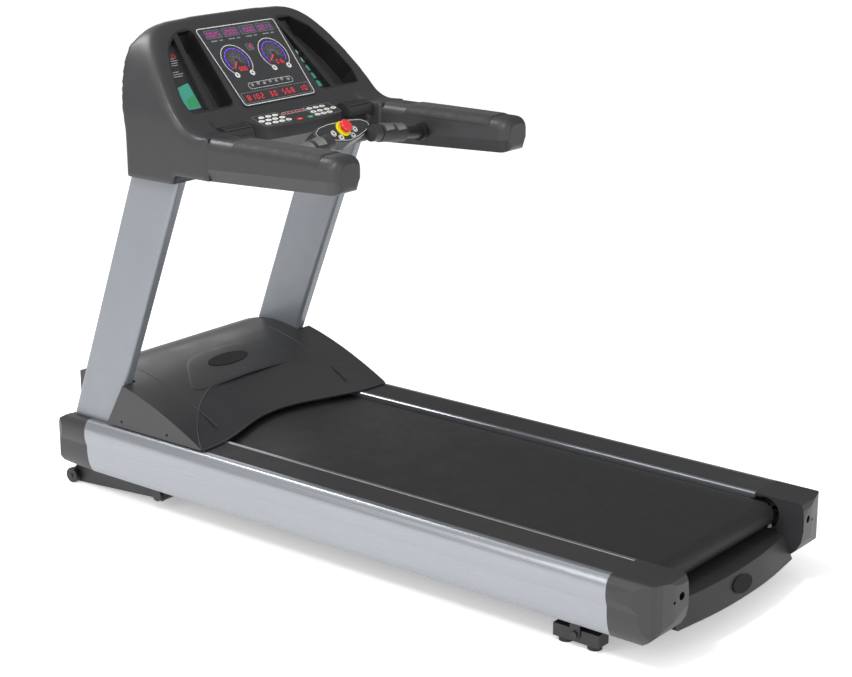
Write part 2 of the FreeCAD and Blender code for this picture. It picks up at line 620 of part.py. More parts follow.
def rear_badge():
    """Plain oval plate on the rear apron."""
    oval = Part.Ellipse(Vector(0, 0, 0), 48.0, 23.0)
    plate = Part.Face(Part.Wire(oval.toShape())).extrude(Vector(0, 0, 3))
    rise = APRON_TOP - APRON_BOTTOM
    plate.rotate(Vector(0, 0, 0), X_AXIS, 90 - math.degrees(math.atan2(APRON_LEAN, rise)))
    plate.translate(Vector(0, APRON_REAR + APRON_LEAN / 2 - 1.0, (APRON_TOP + APRON_BOTTOM) / 2))
    return plate


# ---------------------------------------------------------------- uprights
def upright_outline(inset=0.0):
    """(y, z) outline of an upright, which leans back towards the user."""
    bottom, top = TUBE_TOP, UPRIGHT_TOP
    rear_slope, front_slope = 0.399, 0.379

    def rear(z):
        return 875.0 - (z - 247.0) * rear_slope + inset

    def front(z):
        return 1059.0 - (z - 239.0) * front_slope - inset

    return [(rear(bottom), bottom), (front(bottom), bottom), (front(top), top), (rear(top), top)]


def upright():
    """Right-hand upright, a hollow extrusion with rounded long edges."""
    body = prism_x(upright_outline(), UPRIGHT_INNER, UPRIGHT_OUTER)
    body = rounded(body, 11.0, lambda edge: edge.Length > 700.0)
    hollow = prism_x([(y, z + dz) for (y, z), dz in zip(upright_outline(UPRIGHT_WALL + 3),
                                                        (-1, -1, 1, 1))],
                     UPRIGHT_INNER + UPRIGHT_WALL, UPRIGHT_OUTER - UPRIGHT_WALL)
    return body.cut(rounded(hollow, 8.0, lambda edge: edge.Length > 700.0))


# ---------------------------------------------------------------- console
def console_front_outline(inset):
    """Front view of the console: upright ears that close in to a round top."""
    half = CONSOLE_HALF - inset
    right = [(half, 1190), (half - 5, 1262), (half - 27, 1338), (half - 62, 1405 - inset * 0.3),
             (half - 108, 1449 - inset * 0.7), (half - 175, 1474 - inset), (half - 307, 1483 - inset),
             (0, 1485 - inset)]
    curve = [Vector(x, 0, z) for x, z in right]
    curve += [Vector(-point.x, 0, point.z) for point in reversed(curve[:-1])]
    bottom = CONSOLE_BOTTOM + inset
    corners = [Vector(-half, 0, bottom), Vector(half, 0, bottom)]
    return closed_face(curve, corners)


def face_line(z):
    """Y of the sloping face at one height."""
    return FACE_Y + (z - FACE_Z) / FACE_SLOPE


def console_body(inset):
    """Console's outer form without its shoulders, drawn in by an inset."""
    lean = inset * SLOPE_LENGTH / FACE_SLOPE
    side = [(face_line(1172) + lean, 1172), (face_line(1466) + lean, 1466), (746, 1484 - inset),
            (766, 1482 - inset), (776 - inset, 1466), (770 - inset, 1436), (752 - inset, 1400),
            (CONSOLE_BACK - inset, 1372), (CONSOLE_BACK - inset, CONSOLE_BOTTOM + inset),
            (560 + inset, CONSOLE_BOTTOM + inset), (458 + lean, 1150)]
    front = console_front_outline(inset).extrude(Vector(0, 1000, 0))
    return prism_x(side, -CONSOLE_HALF - 5, CONSOLE_HALF + 5).common(front)


def shoulder(inset):
    """Right-hand shoulder that carries an arm."""
    side = [(SHOULDER_REAR, SHOULDER_BOTTOM + inset), (SHOULDER_REAR, SHOULDER_TOP - inset),
            (600, SHOULDER_TOP - inset), (600, CONSOLE_BOTTOM + inset), (551, CONSOLE_BOTTOM + inset),
            (543, SHOULDER_BOTTOM + inset)]
    return prism_x(side, ARM_INNER + inset, CONSOLE_HALF - inset)


def console_form(inset):
    """Console with both shoulders, drawn in by an inset."""
    return fuse(console_body(inset), shoulder(inset), mirrored(shoulder(inset)))


def pocket_outline():
    """Left-hand pocket, (x, up) on the face."""
    corners = [(-174, 719), (-247, 718), (-309, 687), (-354, 625), (-378, 567), (-370, 532),
               (-185, 531)]
    return [(x, slope_up(y)) for x, y in corners]


def pocket_parts(side):
    """Label tray and well outlines of one pocket; each has its well on its right-hand side."""
    if side < 0:
        label = [(-264, 703), (-306, 681), (-350, 622), (-373, 566), (-366, 536), (-294, 536), (-276, 640)]
        well = [(-178, 714), (-240, 713), (-256, 644), (-274, 536), (-189, 536)]
    else:
        label = [(179, 700), (190, 536), (240, 536), (222, 590), (198, 655)]
        well = [(190, 713), (246, 713), (306, 682), (350, 622), (373, 566), (366, 536), (262, 536),
                (244, 596), (212, 670)]
    return ([(x, slope_up(y)) for x, y in label], [(x, slope_up(y)) for x, y in well])


def console_housing():
    """Console shell: the frame round the face, its sides and its shoulders."""
    shell = console_form(0.0).cut(console_form(SHELL_WALL))
    shell = shell.cut(box(-400, 400, CONSOLE_BACK - 10, CONSOLE_BACK + 10, 1065, 1365))
    openings = face_prism(pocket_outline(), -30, 30)
    upright_sockets = both_sides(prism_x(upright_outline(-1.0), UPRIGHT_INNER - 1, UPRIGHT_OUTER + 1))
    shell = shell.cut(openings).cut(mirrored(openings)).cut(Part.makeCompound(upright_sockets))
    arm_ends = both_sides(box(ARM_INNER + 10, CONSOLE_HALF - 10, SHOULDER_REAR - 5, SHOULDER_REAR + 20,
                              SHOULDER_BOTTOM + 10, SHOULDER_TOP - 10))
    return shell.cut(Part.makeCompound(arm_ends))


def console_back():
    """Flat cover on the console's back."""
    plate = box(-399.5, 399.5, CONSOLE_BACK - 4, CONSOLE_BACK, 1065.5, 1364.5)
    sockets = both_sides(prism_x(upright_outline(-1.5), UPRIGHT_INNER - 1.5, UPRIGHT_OUTER + 1.5))
    return plate.cut(Part.makeCompound(sockets))


def pocket_liner(side):
    """Black liner of one pocket: a shallow label tray, a rib and a deep well."""
    outline = pocket_outline() if side < 0 else [(-x, up) for x, up in pocket_outline()]
    label, well = pocket_parts(side)
    centre = side * 270.0

    def grown(points, distance):
        scale = 1.0 + distance / 100.0
        middle = slope_up(625)
        return [(centre + (x - centre) * scale, middle + (up - middle) * scale) for x, up in points]

    floor_y, floor_z = CONSOLE_BACK - 9.0, 1152.0
    cup = face_prism(grown(well, 1.6), -190, -2).common(box(-400, 400, 400, floor_y + 3, floor_z - 3, 1600))
    tray = face_prism(grown(outline, -0.4), -20, -0.5)
    cup_hollow = face_prism(well, -190, 5).common(box(-400, 400, 400, floor_y, floor_z, 1600))
    return fuse(cup, tray).cut(cup_hollow).cut(face_prism(label, -16, 5))


def display_panel():
    """Instrument panel on the face."""
    corners = [(-158, 525), (158, 525), (173, 716), (-173, 716)]
    plate = face_prism([(x, slope_up(y)) for x, y in corners], 0.0, 3.0)
    return rounded(plate, 12.0, lambda edge: runs_along(edge, FACE_NORMAL))


def keypad_top(y):
    """Height of the keypad shelf's sloping top at one Y."""
    return 1207.0 - 0.31 * (497.0 - y)


def keypad():
    """Wedge-shaped shelf that carries the keys."""
    side = [(400, keypad_top(400)), (520, keypad_top(520)), (520, 1150), (400, 1150)]
    plan = [(-204, 530), (-204, 503), (-163, 432), (-80, 421), (0, 417), (80, 421), (163, 432),
            (204, 503), (204, 530)]
    wedge = prism_x(side, -230, 230).common(prism_z(plan, 1140, 1230))
    return wedge.cut(console_form(0.0))


def key_places():
    """(x, y) of every key on the shelf."""
    left = [(-129, 487), (-99, 487), (-70, 487), (-148, 468), (-118, 468), (-90, 468), (-59, 468),
            (-139, 450), (-107, 450), (-79, 450), (-50, 450)]
    right = [(80, 485), (109, 485), (137, 485), (75, 464), (104, 464), (135, 464), (165, 464),
             (74, 446), (101, 446), (128, 446)]
    return left + right + [(-11, 441), (36, 441)]


def keypad_keys():
    """Printed membrane keys, each a low oval dome."""
    keys = []
    for x, y in key_places():
        oval = Part.Face(Part.Wire(Part.Ellipse(Vector(0, 0, 0), 11.5, 6.5).toShape()))
        key = oval.extrude(Vector(0, 0, 1.4))
        key.rotate(Vector(0, 0, 0), X_AXIS, math.degrees(math.atan(0.31)))
        key.translate(Vector(x, y, keypad_top(y) + 0.02))
        keys.append(key)
    return keys


def vents():
    """Louvred loudspeaker bumps between the keypad and the arms."""
    bump = cylinder_x(212, 320, 470, 1170, 34).cut(console_form(0.0))
    bump = bump.cut(box(200, 330, 400, 520, 1100, 1166))
    slots = [box(216, 316, 436 + 9 * i, 439 + 9 * i, 1186, 1210) for i in range(5)]
    return both_sides(bump.cut(Part.makeCompound(slots)))


# ---------------------------------------------------------------- arms
def arm_section(y, inset):
    """Closed outline of an arm at one Y: flat top, round upper edges, drawn-in lower sides."""
    travel = (SHOULDER_REAR - y) / (SHOULDER_REAR - ARM_REAR)
    bottom = SHOULDER_BOTTOM + 20.0 * travel + inset
    crease = 1110.0 + 22.0 * travel
    top, left, right = ARM_TOP - inset, ARM_INNER + inset, ARM_OUTER - inset
    radius = ARM_CORNER - inset / 2
    bend = radius * (1 - math.sqrt(0.5))
    edges = [Part.makeLine(Vector(left + 14, y, bottom), Vector(left, y, crease)),
             Part.makeLine(Vector(left, y, crease), Vector(left, y, top - radius)),
             Part.Arc(Vector(left, y, top - radius), Vector(left + bend, y, top - bend),
                      Vector(left + radius, y, top)).toShape(),
             Part.makeLine(Vector(left + radius, y, top), Vector(right - radius, y, top)),
             Part.Arc(Vector(right - radius, y, top), Vector(right - bend, y, top - bend),
                      Vector(right, y, top - radius)).toShape(),
             Part.makeLine(Vector(right, y, top - radius), Vector(right, y, crease)),
             Part.makeLine(Vector(right, y, crease), Vector(right - 14, y, bottom)),
             Part.makeLine(Vector(right - 14, y, bottom), Vector(left + 14, y, bottom))]
    return Part.Wire(edges)


def arm_bar(y0, y1, inset=0.0):
    """Solid arm between two Y."""
    return Part.makeLoft([arm_section(y0, inset), arm_section(y1, inset)], True, True)


def arm():
    """Right-hand arm housing."""
    shell = arm_bar(SHOULDER_REAR, ARM_REAR).cut(arm_bar(SHOULDER_REAR + 1, ARM_REAR - 1, ARM_WALL))
    bar_hole = rod(BAR_END - (BAR_MIDDLE - BAR_END) * 0.1, BAR_MIDDLE, BAR_RADIUS)
    return shell.cut(bar_hole)


def arm_cap():
    """Right-hand rounded end cap of an arm."""
    steps = ((ARM_REAR - 0.3, 0.0), (ARM_REAR - 14, 1.0), (ARM_REAR - 26, 5.0), (ARM_REAR - 33, 11.0),
             (ARM_TIP, 20.0))
    return Part.makeLoft([arm_section(y, inset) for y, inset in steps], True, False)


def arm_pad():
    """Right-hand soft pad on top of an arm."""
    outer = arm_bar(ARM_PAD_FRONT, ARM_PAD_REAR, -ARM_PAD_RISE)
    inner = arm_bar(ARM_PAD_FRONT + 1, ARM_PAD_REAR - 1)
    span = box(ARM_INNER - 5, ARM_OUTER + 5, ARM_PAD_REAR, ARM_PAD_FRONT, ARM_TOP - 27, ARM_TOP + 13)
    return outer.cut(inner).common(span)


# ---------------------------------------------------------------- handlebar and control pod
def bar_point(x):
    """Point on the handlebar's centre line, right-hand side."""
    return BAR_MIDDLE + (BAR_END - BAR_MIDDLE) * (x / BAR_END.x)


def crossbar():
    """Steel handlebar tubes from the arms to the pod, with a collar at each arm."""
    tube = rod(bar_point(96), bar_point(328), BAR_RADIUS - 0.2)
    tube = tube.cut(rod(bar_point(95), bar_point(330), BAR_RADIUS - 2.5))
    return both_sides(fuse(tube, rod(bar_point(308), bar_point(318), 26.0)
                           .cut(rod(bar_point(300), bar_point(325), BAR_RADIUS - 1))))


def grip():
    """Right-hand pulse grip, a sleeve on the handlebar."""
    sleeve = rod(bar_point(125), bar_point(230), GRIP_RADIUS)
    return sleeve.cut(rod(bar_point(100), bar_point(250), BAR_RADIUS))


def sensor_plates():
    """Steel contact plates on the upper side of each grip."""
    plates = []
    for start in (134, 186):
        ring = rod(bar_point(start), bar_point(start + 36), GRIP_RADIUS + 1.5)
        ring = ring.cut(rod(bar_point(start - 5), bar_point(start + 45), GRIP_RADIUS + 0.02))
        middle = bar_point(start + 18)
        keep = box(start - 10, start + 50, middle.y - 60, middle.y + 60, middle.z + 12, middle.z + 60)
        plates.append(ring.common(keep))
    return both_sides(*plates)


def on_pod(x, up, out=0.0):
    """Point on the pod's sloping face."""
    return Vector(x, 0, 0).add(POD_ORIGIN).add(FACE_UP * up).add(FACE_NORMAL * out)


def pod_post(x, up, bottom, top, radius):
    """Round post square to the pod's face."""
    return Part.makeCylinder(radius, top - bottom, on_pod(x, up, bottom), FACE_NORMAL)


def pod_keys():
    """(x, up) of the pod's four keys."""
    return [(-47, 27), (47, 27), (-26, 9), (26, 9)]


def control_pod():
    """Housing in the middle of the handlebar."""
    plan = [(0, -10), (58, 2), (100, 14), (122, 26), (122, 44), (96, 58), (48, 64), (-48, 64),
            (-96, 58), (-122, 44), (-122, 26), (-100, 14), (-58, 2)]
    body = prism([on_pod(x, up, -44) for x, up in plan], FACE_NORMAL * 44)
    body = rounded(body, 3.0, lambda edge: all(abs((v.Point - POD_ORIGIN).dot(FACE_NORMAL)) < 0.1
                                               for v in edge.Vertexes))
    bores = [pod_post(x, up, -5, 1, 7.5) for x, up in pod_keys()]
    bores.append(pod_post(0, STOP_HEIGHT, -28, 1, 9.5))
    collars = both_sides(rod(bar_point(94), bar_point(123), GRIP_RADIUS - 2))
    sockets = both_sides(rod(bar_point(95.5), bar_point(150), BAR_RADIUS))
    return fuse(body, *collars).cut(Part.makeCompound(bores)).cut(Part.makeCompound(sockets))


def stop_ring():
    """Yellow collar round the stop button."""
    return pod_post(0, STOP_HEIGHT, 0, 4, 25).cut(pod_post(0, STOP_HEIGHT, -1, 5, 9.5))


def stop_plunger():
    """Stem of the stop button."""
    stem = pod_post(0, STOP_HEIGHT, -14, 12, 8.5)
    return fuse(stem, pod_post(0, STOP_HEIGHT, 12, 20, 5.0))


def stop_button():
    """Red mushroom head, which turns on the stem to release it."""
    head = pod_post(0, STOP_HEIGHT, 13, 24, 20)
    socket = pod_post(0, STOP_HEIGHT, 12, 20.4, 5.06)
    head = head.cut(socket)
    return rounded(head, 4.0, lambda edge: edge.Length > 100
                   and (edge.CenterOfMass - POD_ORIGIN).dot(FACE_NORMAL) > 23)


# ---------------------------------------------------------------- elevation gear and feet
def lift_arm():
    """Elevation frame: two side tubes, a cross tube, the screw's ears and the wheel axles."""
    y, z = LIFT_PIVOT
    outer = [(y - 20, z - 8), (y - 14, z - 17), (1084, 2), (1106, 4), (1112, 24), (1106, 44),
             (1084, 64), (y + 10, 70), (y - 14, 66), (y - 20, 56)]
    hollow = [(y + 26, z - 12), (1076, 6), (1078, 60), (y + 26, 66)]
    side = prism_x(outer, LIFT_INNER, LIFT_OUTER)
    side = side.cut(prism_x(hollow, LIFT_INNER + STEEL_WALL, LIFT_OUTER - STEEL_WALL))
    side = side.cut(cylinder_x(LIFT_INNER - 1, LIFT_OUTER + 1, y, z, 8.0 + BEARING_GAP))
    axle = cylinder_x(LIFT_OUTER - 20, LIFT_OUTER + WHEEL_WIDTH + 4, *WHEEL_CENTRE, 6.0)
    cross = tube_box(-LIFT_INNER, LIFT_INNER, 832, 872, 25, 65, STEEL_WALL, X_AXIS)
    ear = [(776, 37), (782, 32), (832, 25), (832, 62), (782, 58), (776, 53)]
    ears = [prism_x(ear, x, x + 9) for x in (SCREW_X - 20, SCREW_X + 11)]
    pin = cylinder_x(SCREW_X - 20, SCREW_X + 20, SCREW_Y, SCREW_PIN_Z, 6.0)
    return both_sides(fuse(side, axle)) + [cross, fuse(ears[0], pin, ears[1])]


def lift_wheel():
    """Right-hand transport wheel."""
    start = LIFT_OUTER + 1.0
    wheel = cylinder_x(start, start + WHEEL_WIDTH, *WHEEL_CENTRE, WHEEL_RADIUS)
    wheel = rounded(wheel, 3.0, lambda edge: edge.Length > 100)
    return wheel.cut(cylinder_x(start - 1, start + WHEEL_WIDTH + 1, *WHEEL_CENTRE, 6.0 + BEARING_GAP))


def lift_motor():
    """Elevation motor: guide tube, gearbox and motor can, hung from its upper pin."""
    tube = cylinder_z(SCREW_X, SCREW_Y, 150, 316, 20)
    head = box(SCREW_X - 22, SCREW_X + 22, SCREW_Y - 18, SCREW_Y + 20, 296, 344)
    gearbox = box(SCREW_X - 22, SCREW_X + 22, SCREW_Y - 22, SCREW_Y + 22, 228, 262)
    link = box(SCREW_X - 60, SCREW_X - 20, SCREW_Y - 20, SCREW_Y + 20, 232, 258)
    can = cylinder_z(SCREW_X - 74, SCREW_Y, 222, 316, 28)
    pin = cylinder_x(SCREW_X - 31, SCREW_X + 31, SCREW_Y, 330, 6.0)
    bore = cylinder_z(SCREW_X, SCREW_Y, 149, 290, SCREW_RADIUS + 0.3)
    return fuse(tube, head, gearbox, link, can, pin).cut(bore)


def lift_screw():
    """Elevation screw, with a slotted eye that works on the elevation frame's pin."""
    shaft = cylinder_z(SCREW_X, SCREW_Y, 58, 270, SCREW_RADIUS)
    eye = box(SCREW_X - 8, SCREW_X + 8, 756, 808, 31, 60)
    slot_top, slot_bottom = SCREW_PIN_Z + 7.5, SCREW_PIN_Z - 7.5
    slot = fuse(box(SCREW_X - 9, SCREW_X + 9, 771, 789, slot_bottom, slot_top),
                cylinder_x(SCREW_X - 9, SCREW_X + 9, 771, SCREW_PIN_Z, 7.5),
                cylinder_x(SCREW_X - 9, SCREW_X + 9, 789, SCREW_PIN_Z, 7.5))
    return fuse(shaft, eye).cut(slot)


def foot_bar():
    """Right-hand rocking foot bar."""
    y, z = FOOT_PIVOT
    bar = box(TUBE_INNER + 1, TUBE_OUTER - 1, y - FOOT_HALF_LENGTH, y + FOOT_HALF_LENGTH,
              FOOT_BOTTOM, FOOT_TOP)
    hollow = box(TUBE_INNER + 4, TUBE_OUTER - 4, y - FOOT_HALF_LENGTH + 3, y + FOOT_HALF_LENGTH - 3,
                 FOOT_BOTTOM + 3, FOOT_TOP - 3)
    sleeve = cylinder_x(TUBE_INNER + 1, TUBE_OUTER - 1, y, z, 9.0)
    bore = cylinder_x(TUBE_INNER, TUBE_OUTER, y, z, 6.0 + BEARING_GAP)
    return fuse(bar.cut(hollow), sleeve).cut(bore)


def foot_pads():
    """Two rubber pads under the right-hand foot bar."""
    middle = (TUBE_INNER + TUBE_OUTER) / 2
    return [cylinder_z(middle, FOOT_PIVOT[0] + side * FOOT_PAD_OFFSET, 0, FOOT_BOTTOM, FOOT_PAD_RADIUS)
            for side in (-1, 1)]


# ---------------------------------------------------------------- drive and electrics
def drive_motor():
    """Motor can with its end bells."""
    can = cylinder_x(MOTOR_LEFT, MOTOR_RIGHT, MOTOR_Y, MOTOR_Z, MOTOR_RADIUS)
    hollow = cylinder_x(MOTOR_LEFT + 12, MOTOR_RIGHT - 12, MOTOR_Y, MOTOR_Z, MOTOR_RADIUS - 10)
    bore = cylinder_x(MOTOR_LEFT - 1, MOTOR_RIGHT + 1, MOTOR_Y, MOTOR_Z, 8.0 + BEARING_GAP)
    return can.cut(hollow).cut(bore)


def motor_rotor():
    """Rotor, shaft, belt pulley and flywheel fan."""
    shaft = cylinder_x(PULLEY_LEFT - 2, MOTOR_RIGHT + 30, MOTOR_Y, MOTOR_Z, 8.0)
    core = cylinder_x(MOTOR_LEFT + 18, MOTOR_RIGHT - 18, MOTOR_Y, MOTOR_Z, MOTOR_RADIUS - 11)
    pulley = cylinder_x(PULLEY_LEFT, PULLEY_RIGHT, MOTOR_Y, MOTOR_Z, MOTOR_PULLEY_RADIUS)
    fan = cylinder_x(MOTOR_RIGHT + 6, MOTOR_RIGHT + 26, MOTOR_Y, MOTOR_Z, 46)
    return fuse(shaft, core, pulley, fan)


def drive_belt():
    """Ribbed belt from the motor to the front roller."""
    return belt_loop((FRONT_ROLLER_Y, ROLLER_Z), ROLLER_PULLEY_RADIUS + RUNNING_GAP,
                     (MOTOR_Y, MOTOR_Z), MOTOR_PULLEY_RADIUS + RUNNING_GAP,
                     DRIVE_BELT_THICKNESS, PULLEY_LEFT + 1, PULLEY_RIGHT - 1)


def motor_controller():
    """Motor controller: a finned heat sink under its cover."""
    base = box(140, 290, 880, 1030, 157, 164)
    fins = [box(144 + 18 * i, 148 + 18 * i, 884, 1026, 164, 190) for i in range(9)]
    return fuse(base, *fins)


def power_inlet():
    """Mains inlet and the surround of the power switch, on the hood's front wall."""
    plate = box(-262, -168, HOOD_FRONT, HOOD_FRONT + 3, 128, 182)
    body = box(-255, -175, HOOD_FRONT - 30, HOOD_FRONT, 135, 175)
    socket = box(-251, -223, HOOD_FRONT - 20, HOOD_FRONT + 4, 145, 165)
    pins = [box(x, x + 2, HOOD_FRONT - 20, HOOD_FRONT - 4, 150, 158) for x in (-244, -238, -232)]
    switch_well = cylinder_x(-203, -187, HOOD_FRONT, 155, 10.5)
    pocket = box(-203, -187, HOOD_FRONT - 11, HOOD_FRONT + 4, 144.5, 165.5)
    return fuse(fuse(plate, body).cut(socket).cut(fuse(pocket, switch_well)), *pins)


def power_switch():
    """Rocker of the power switch."""
    rocker = cylinder_x(-202, -188, HOOD_FRONT, 155, 10.0)
    trim = prism_x([(HOOD_FRONT + 2, 144), (HOOD_FRONT + 6, 155), (HOOD_FRONT + 3.5, 166),
                    (HOOD_FRONT + 20, 166), (HOOD_FRONT + 20, 144)], -203, -187)
    return rocker.cut(trim)


# ---------------------------------------------------------------- fasteners
def screws():
    """Roller tension bolts, deck screws and the hood's side screws."""
    pieces = []
    bolt = fuse(cylinder_y(332, -1048, -940, ROLLER_Z, 4.9), cylinder_y(332, -1056, -1048, ROLLER_Z, 8.0))
    pieces += both_sides(bolt)
    top = DECK_TOP
    for y in CUSHIONS_Y:
        pieces += both_sides(cylinder_z(CUSHION_X, y, top - DECK_THICKNESS - 20, top, 3.9))
    for y, z in ((628, 268), (825, 268)):
        pieces += both_sides(Part.makeCylinder(4.0, 1.5, Vector(COVER_OUTER, y, z), X_AXIS))
    return pieces


def main():
    """Write every node."""
    os.makedirs("parts", exist_ok=True)
    export("frame_weldment", *frame_weldment())
    export("frame_brackets", *frame_brackets())
    export("deck_board", deck_board())
    export("deck_cushions", *deck_cushions())
    export("running_belt", running_belt())
    export("rear_roller", roller_tube(REAR_ROLLER_Y))
    export("front_roller", front_roller())
    export("roller_axles", *roller_axles())
    for node, piece in (("side_rail", side_rail()), ("hood_cover", hood_cover()),
                        ("upright", upright()), ("arm", arm()), ("lift_wheel", lift_wheel()),
                        ("foot_bar", foot_bar())):
        export(f"{node}_right", piece)
        export(f"{node}_left", mirrored(piece))
    export("foot_pads_right", *foot_pads())
    export("foot_pads_left", *[mirrored(pad) for pad in foot_pads()])
    export("step_rails", *both_sides(step_rail()))
    export("step_pads", *both_sides(step_pad()))
    export("front_caps", *both_sides(front_cap()))
    export("rear_caps", *both_sides(rear_cap()))
    export("rear_apron", rear_apron())
    export("hood", hood())
    export("hood_visor", hood_visor())
    export("badges", hood_badge(), rear_badge())
    export("console_housing", console_housing())
    export("console_back", console_back())
    export("pocket_liners", pocket_liner(-1), pocket_liner(1))
    export("display_panel", display_panel())
    export("keypad", keypad())
    export("keypad_keys", *keypad_keys())
    export("vents", *vents())
    export("arm_caps", *both_sides(arm_cap()))
    export("arm_pads", *both_sides(arm_pad()))
    export("crossbar", *crossbar())
    export("grips", *both_sides(grip()))
    export("sensor_plates", *sensor_plates())
    export("control_pod", control_pod())
    export("stop_ring", stop_ring())
    export("stop_plunger", stop_plunger())
    export("stop_button", stop_button())
    for name, (x, up) in zip(("speed_down", "speed_up", "incline_down", "incline_up"), pod_keys()):
        export(f"key_{name}", pod_post(x, up, -3.5, 1.5, 7.0))
    export("lift_arm", *lift_arm())
    export("lift_motor", lift_motor())
    export("lift_screw", lift_screw())
    export("drive_motor", drive_motor())
    export("motor_rotor", motor_rotor())
    export("drive_belt", drive_belt())
    export("motor_controller", motor_controller())
    export("power_inlet", power_inlet())
    export("power_switch", power_switch())
    export("screws", *screws())


main()
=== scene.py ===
"""Finishes and fine pieces of a motorised treadmill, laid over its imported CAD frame.

Metres, in the CAD frame: +X is the user's right, +Y is forward, +Z is up, and the floor is z = 0.
"""
import logging
import math
from dataclasses import dataclass, field
from enum import Enum

import bmesh
import bpy
import numpy as np
from mathutils import Euler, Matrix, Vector


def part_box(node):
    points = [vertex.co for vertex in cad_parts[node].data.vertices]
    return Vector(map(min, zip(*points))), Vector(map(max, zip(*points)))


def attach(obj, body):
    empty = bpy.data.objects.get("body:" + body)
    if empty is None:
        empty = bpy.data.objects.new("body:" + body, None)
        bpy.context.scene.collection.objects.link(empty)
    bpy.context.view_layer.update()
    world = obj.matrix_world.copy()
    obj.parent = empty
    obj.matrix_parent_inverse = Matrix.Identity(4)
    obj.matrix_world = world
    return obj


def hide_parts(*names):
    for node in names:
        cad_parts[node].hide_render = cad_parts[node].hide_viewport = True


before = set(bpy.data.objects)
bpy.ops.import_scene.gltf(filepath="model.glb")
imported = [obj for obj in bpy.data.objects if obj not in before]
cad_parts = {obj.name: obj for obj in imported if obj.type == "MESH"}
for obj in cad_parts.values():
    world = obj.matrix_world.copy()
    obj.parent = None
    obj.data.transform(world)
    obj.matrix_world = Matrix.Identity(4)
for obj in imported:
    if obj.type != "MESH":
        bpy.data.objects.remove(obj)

LOG = logging.getLogger("treadmill")
MM = 0.001
ACROSS = np.array((1.0, 0.0, 0.0))


# ------------------------------------------------------------------ colours and nodes
def linear(colour: str) -> tuple[float, float, float, float]:
    """Turn an sRGB hex colour into linear light.

    Args:
        colour: six hex digits, such as "4A4A4C".

    Returns:
        Red, green, blue and an alpha of 1.
    """
    parts = np.array([int(colour[i:i + 2], 16) for i in (0, 2, 4)]) / 255.0
    light = np.where(parts <= 0.04045, parts / 12.92, ((parts + 0.055) / 1.055) ** 2.4)
    return (*light.tolist(), 1.0)


def brighter(colour: str, factor: float) -> str:
    """The same hue, brighter or darker, as sRGB hex."""
    return "".join(f"{min(255, round(int(colour[i:i + 2], 16) * factor)):02X}" for i in (0, 2, 4))


def add_node(tree: bpy.types.NodeTree, kind: str, inputs: dict | None = None,
             **settings: object) -> bpy.types.Node:
    """Add one node, with its settings and its inputs.

    Args:
        tree: the material's node tree.
        kind: Blender's name of the node type.
        inputs: socket name or number to a value, or to another node's output.
        settings: the node's own properties.

    Returns:
        The new node.
    """
    node = tree.nodes.new(kind)
    for name, value in settings.items():
        setattr(node, name, value)
    for name, value in (inputs or {}).items():
        if isinstance(value, bpy.types.NodeSocket):
            tree.links.new(value, node.inputs[name])
        else:
            node.inputs[name].default_value = value
    return node


class Kind(Enum):
    """Node types that the finishes are mixed from."""

    MAPPING = "ShaderNodeMapping"
    NOISE = "ShaderNodeTexNoise"
    RANGE = "ShaderNodeMapRange"
    MATH = "ShaderNodeMath"
    SPLIT = "ShaderNodeSeparateXYZ"
    BUMP = "ShaderNodeBump"


@dataclass(frozen=True)
class Patches:
    """Soft patches of one size, or streaks where the pattern is stretched along an axis."""

    size_mm: float
    start: float = 0.35
    end: float = 0.75
    detail: float = 3.0
    stretch: tuple[float, float, float] = (1.0, 1.0, 1.0)


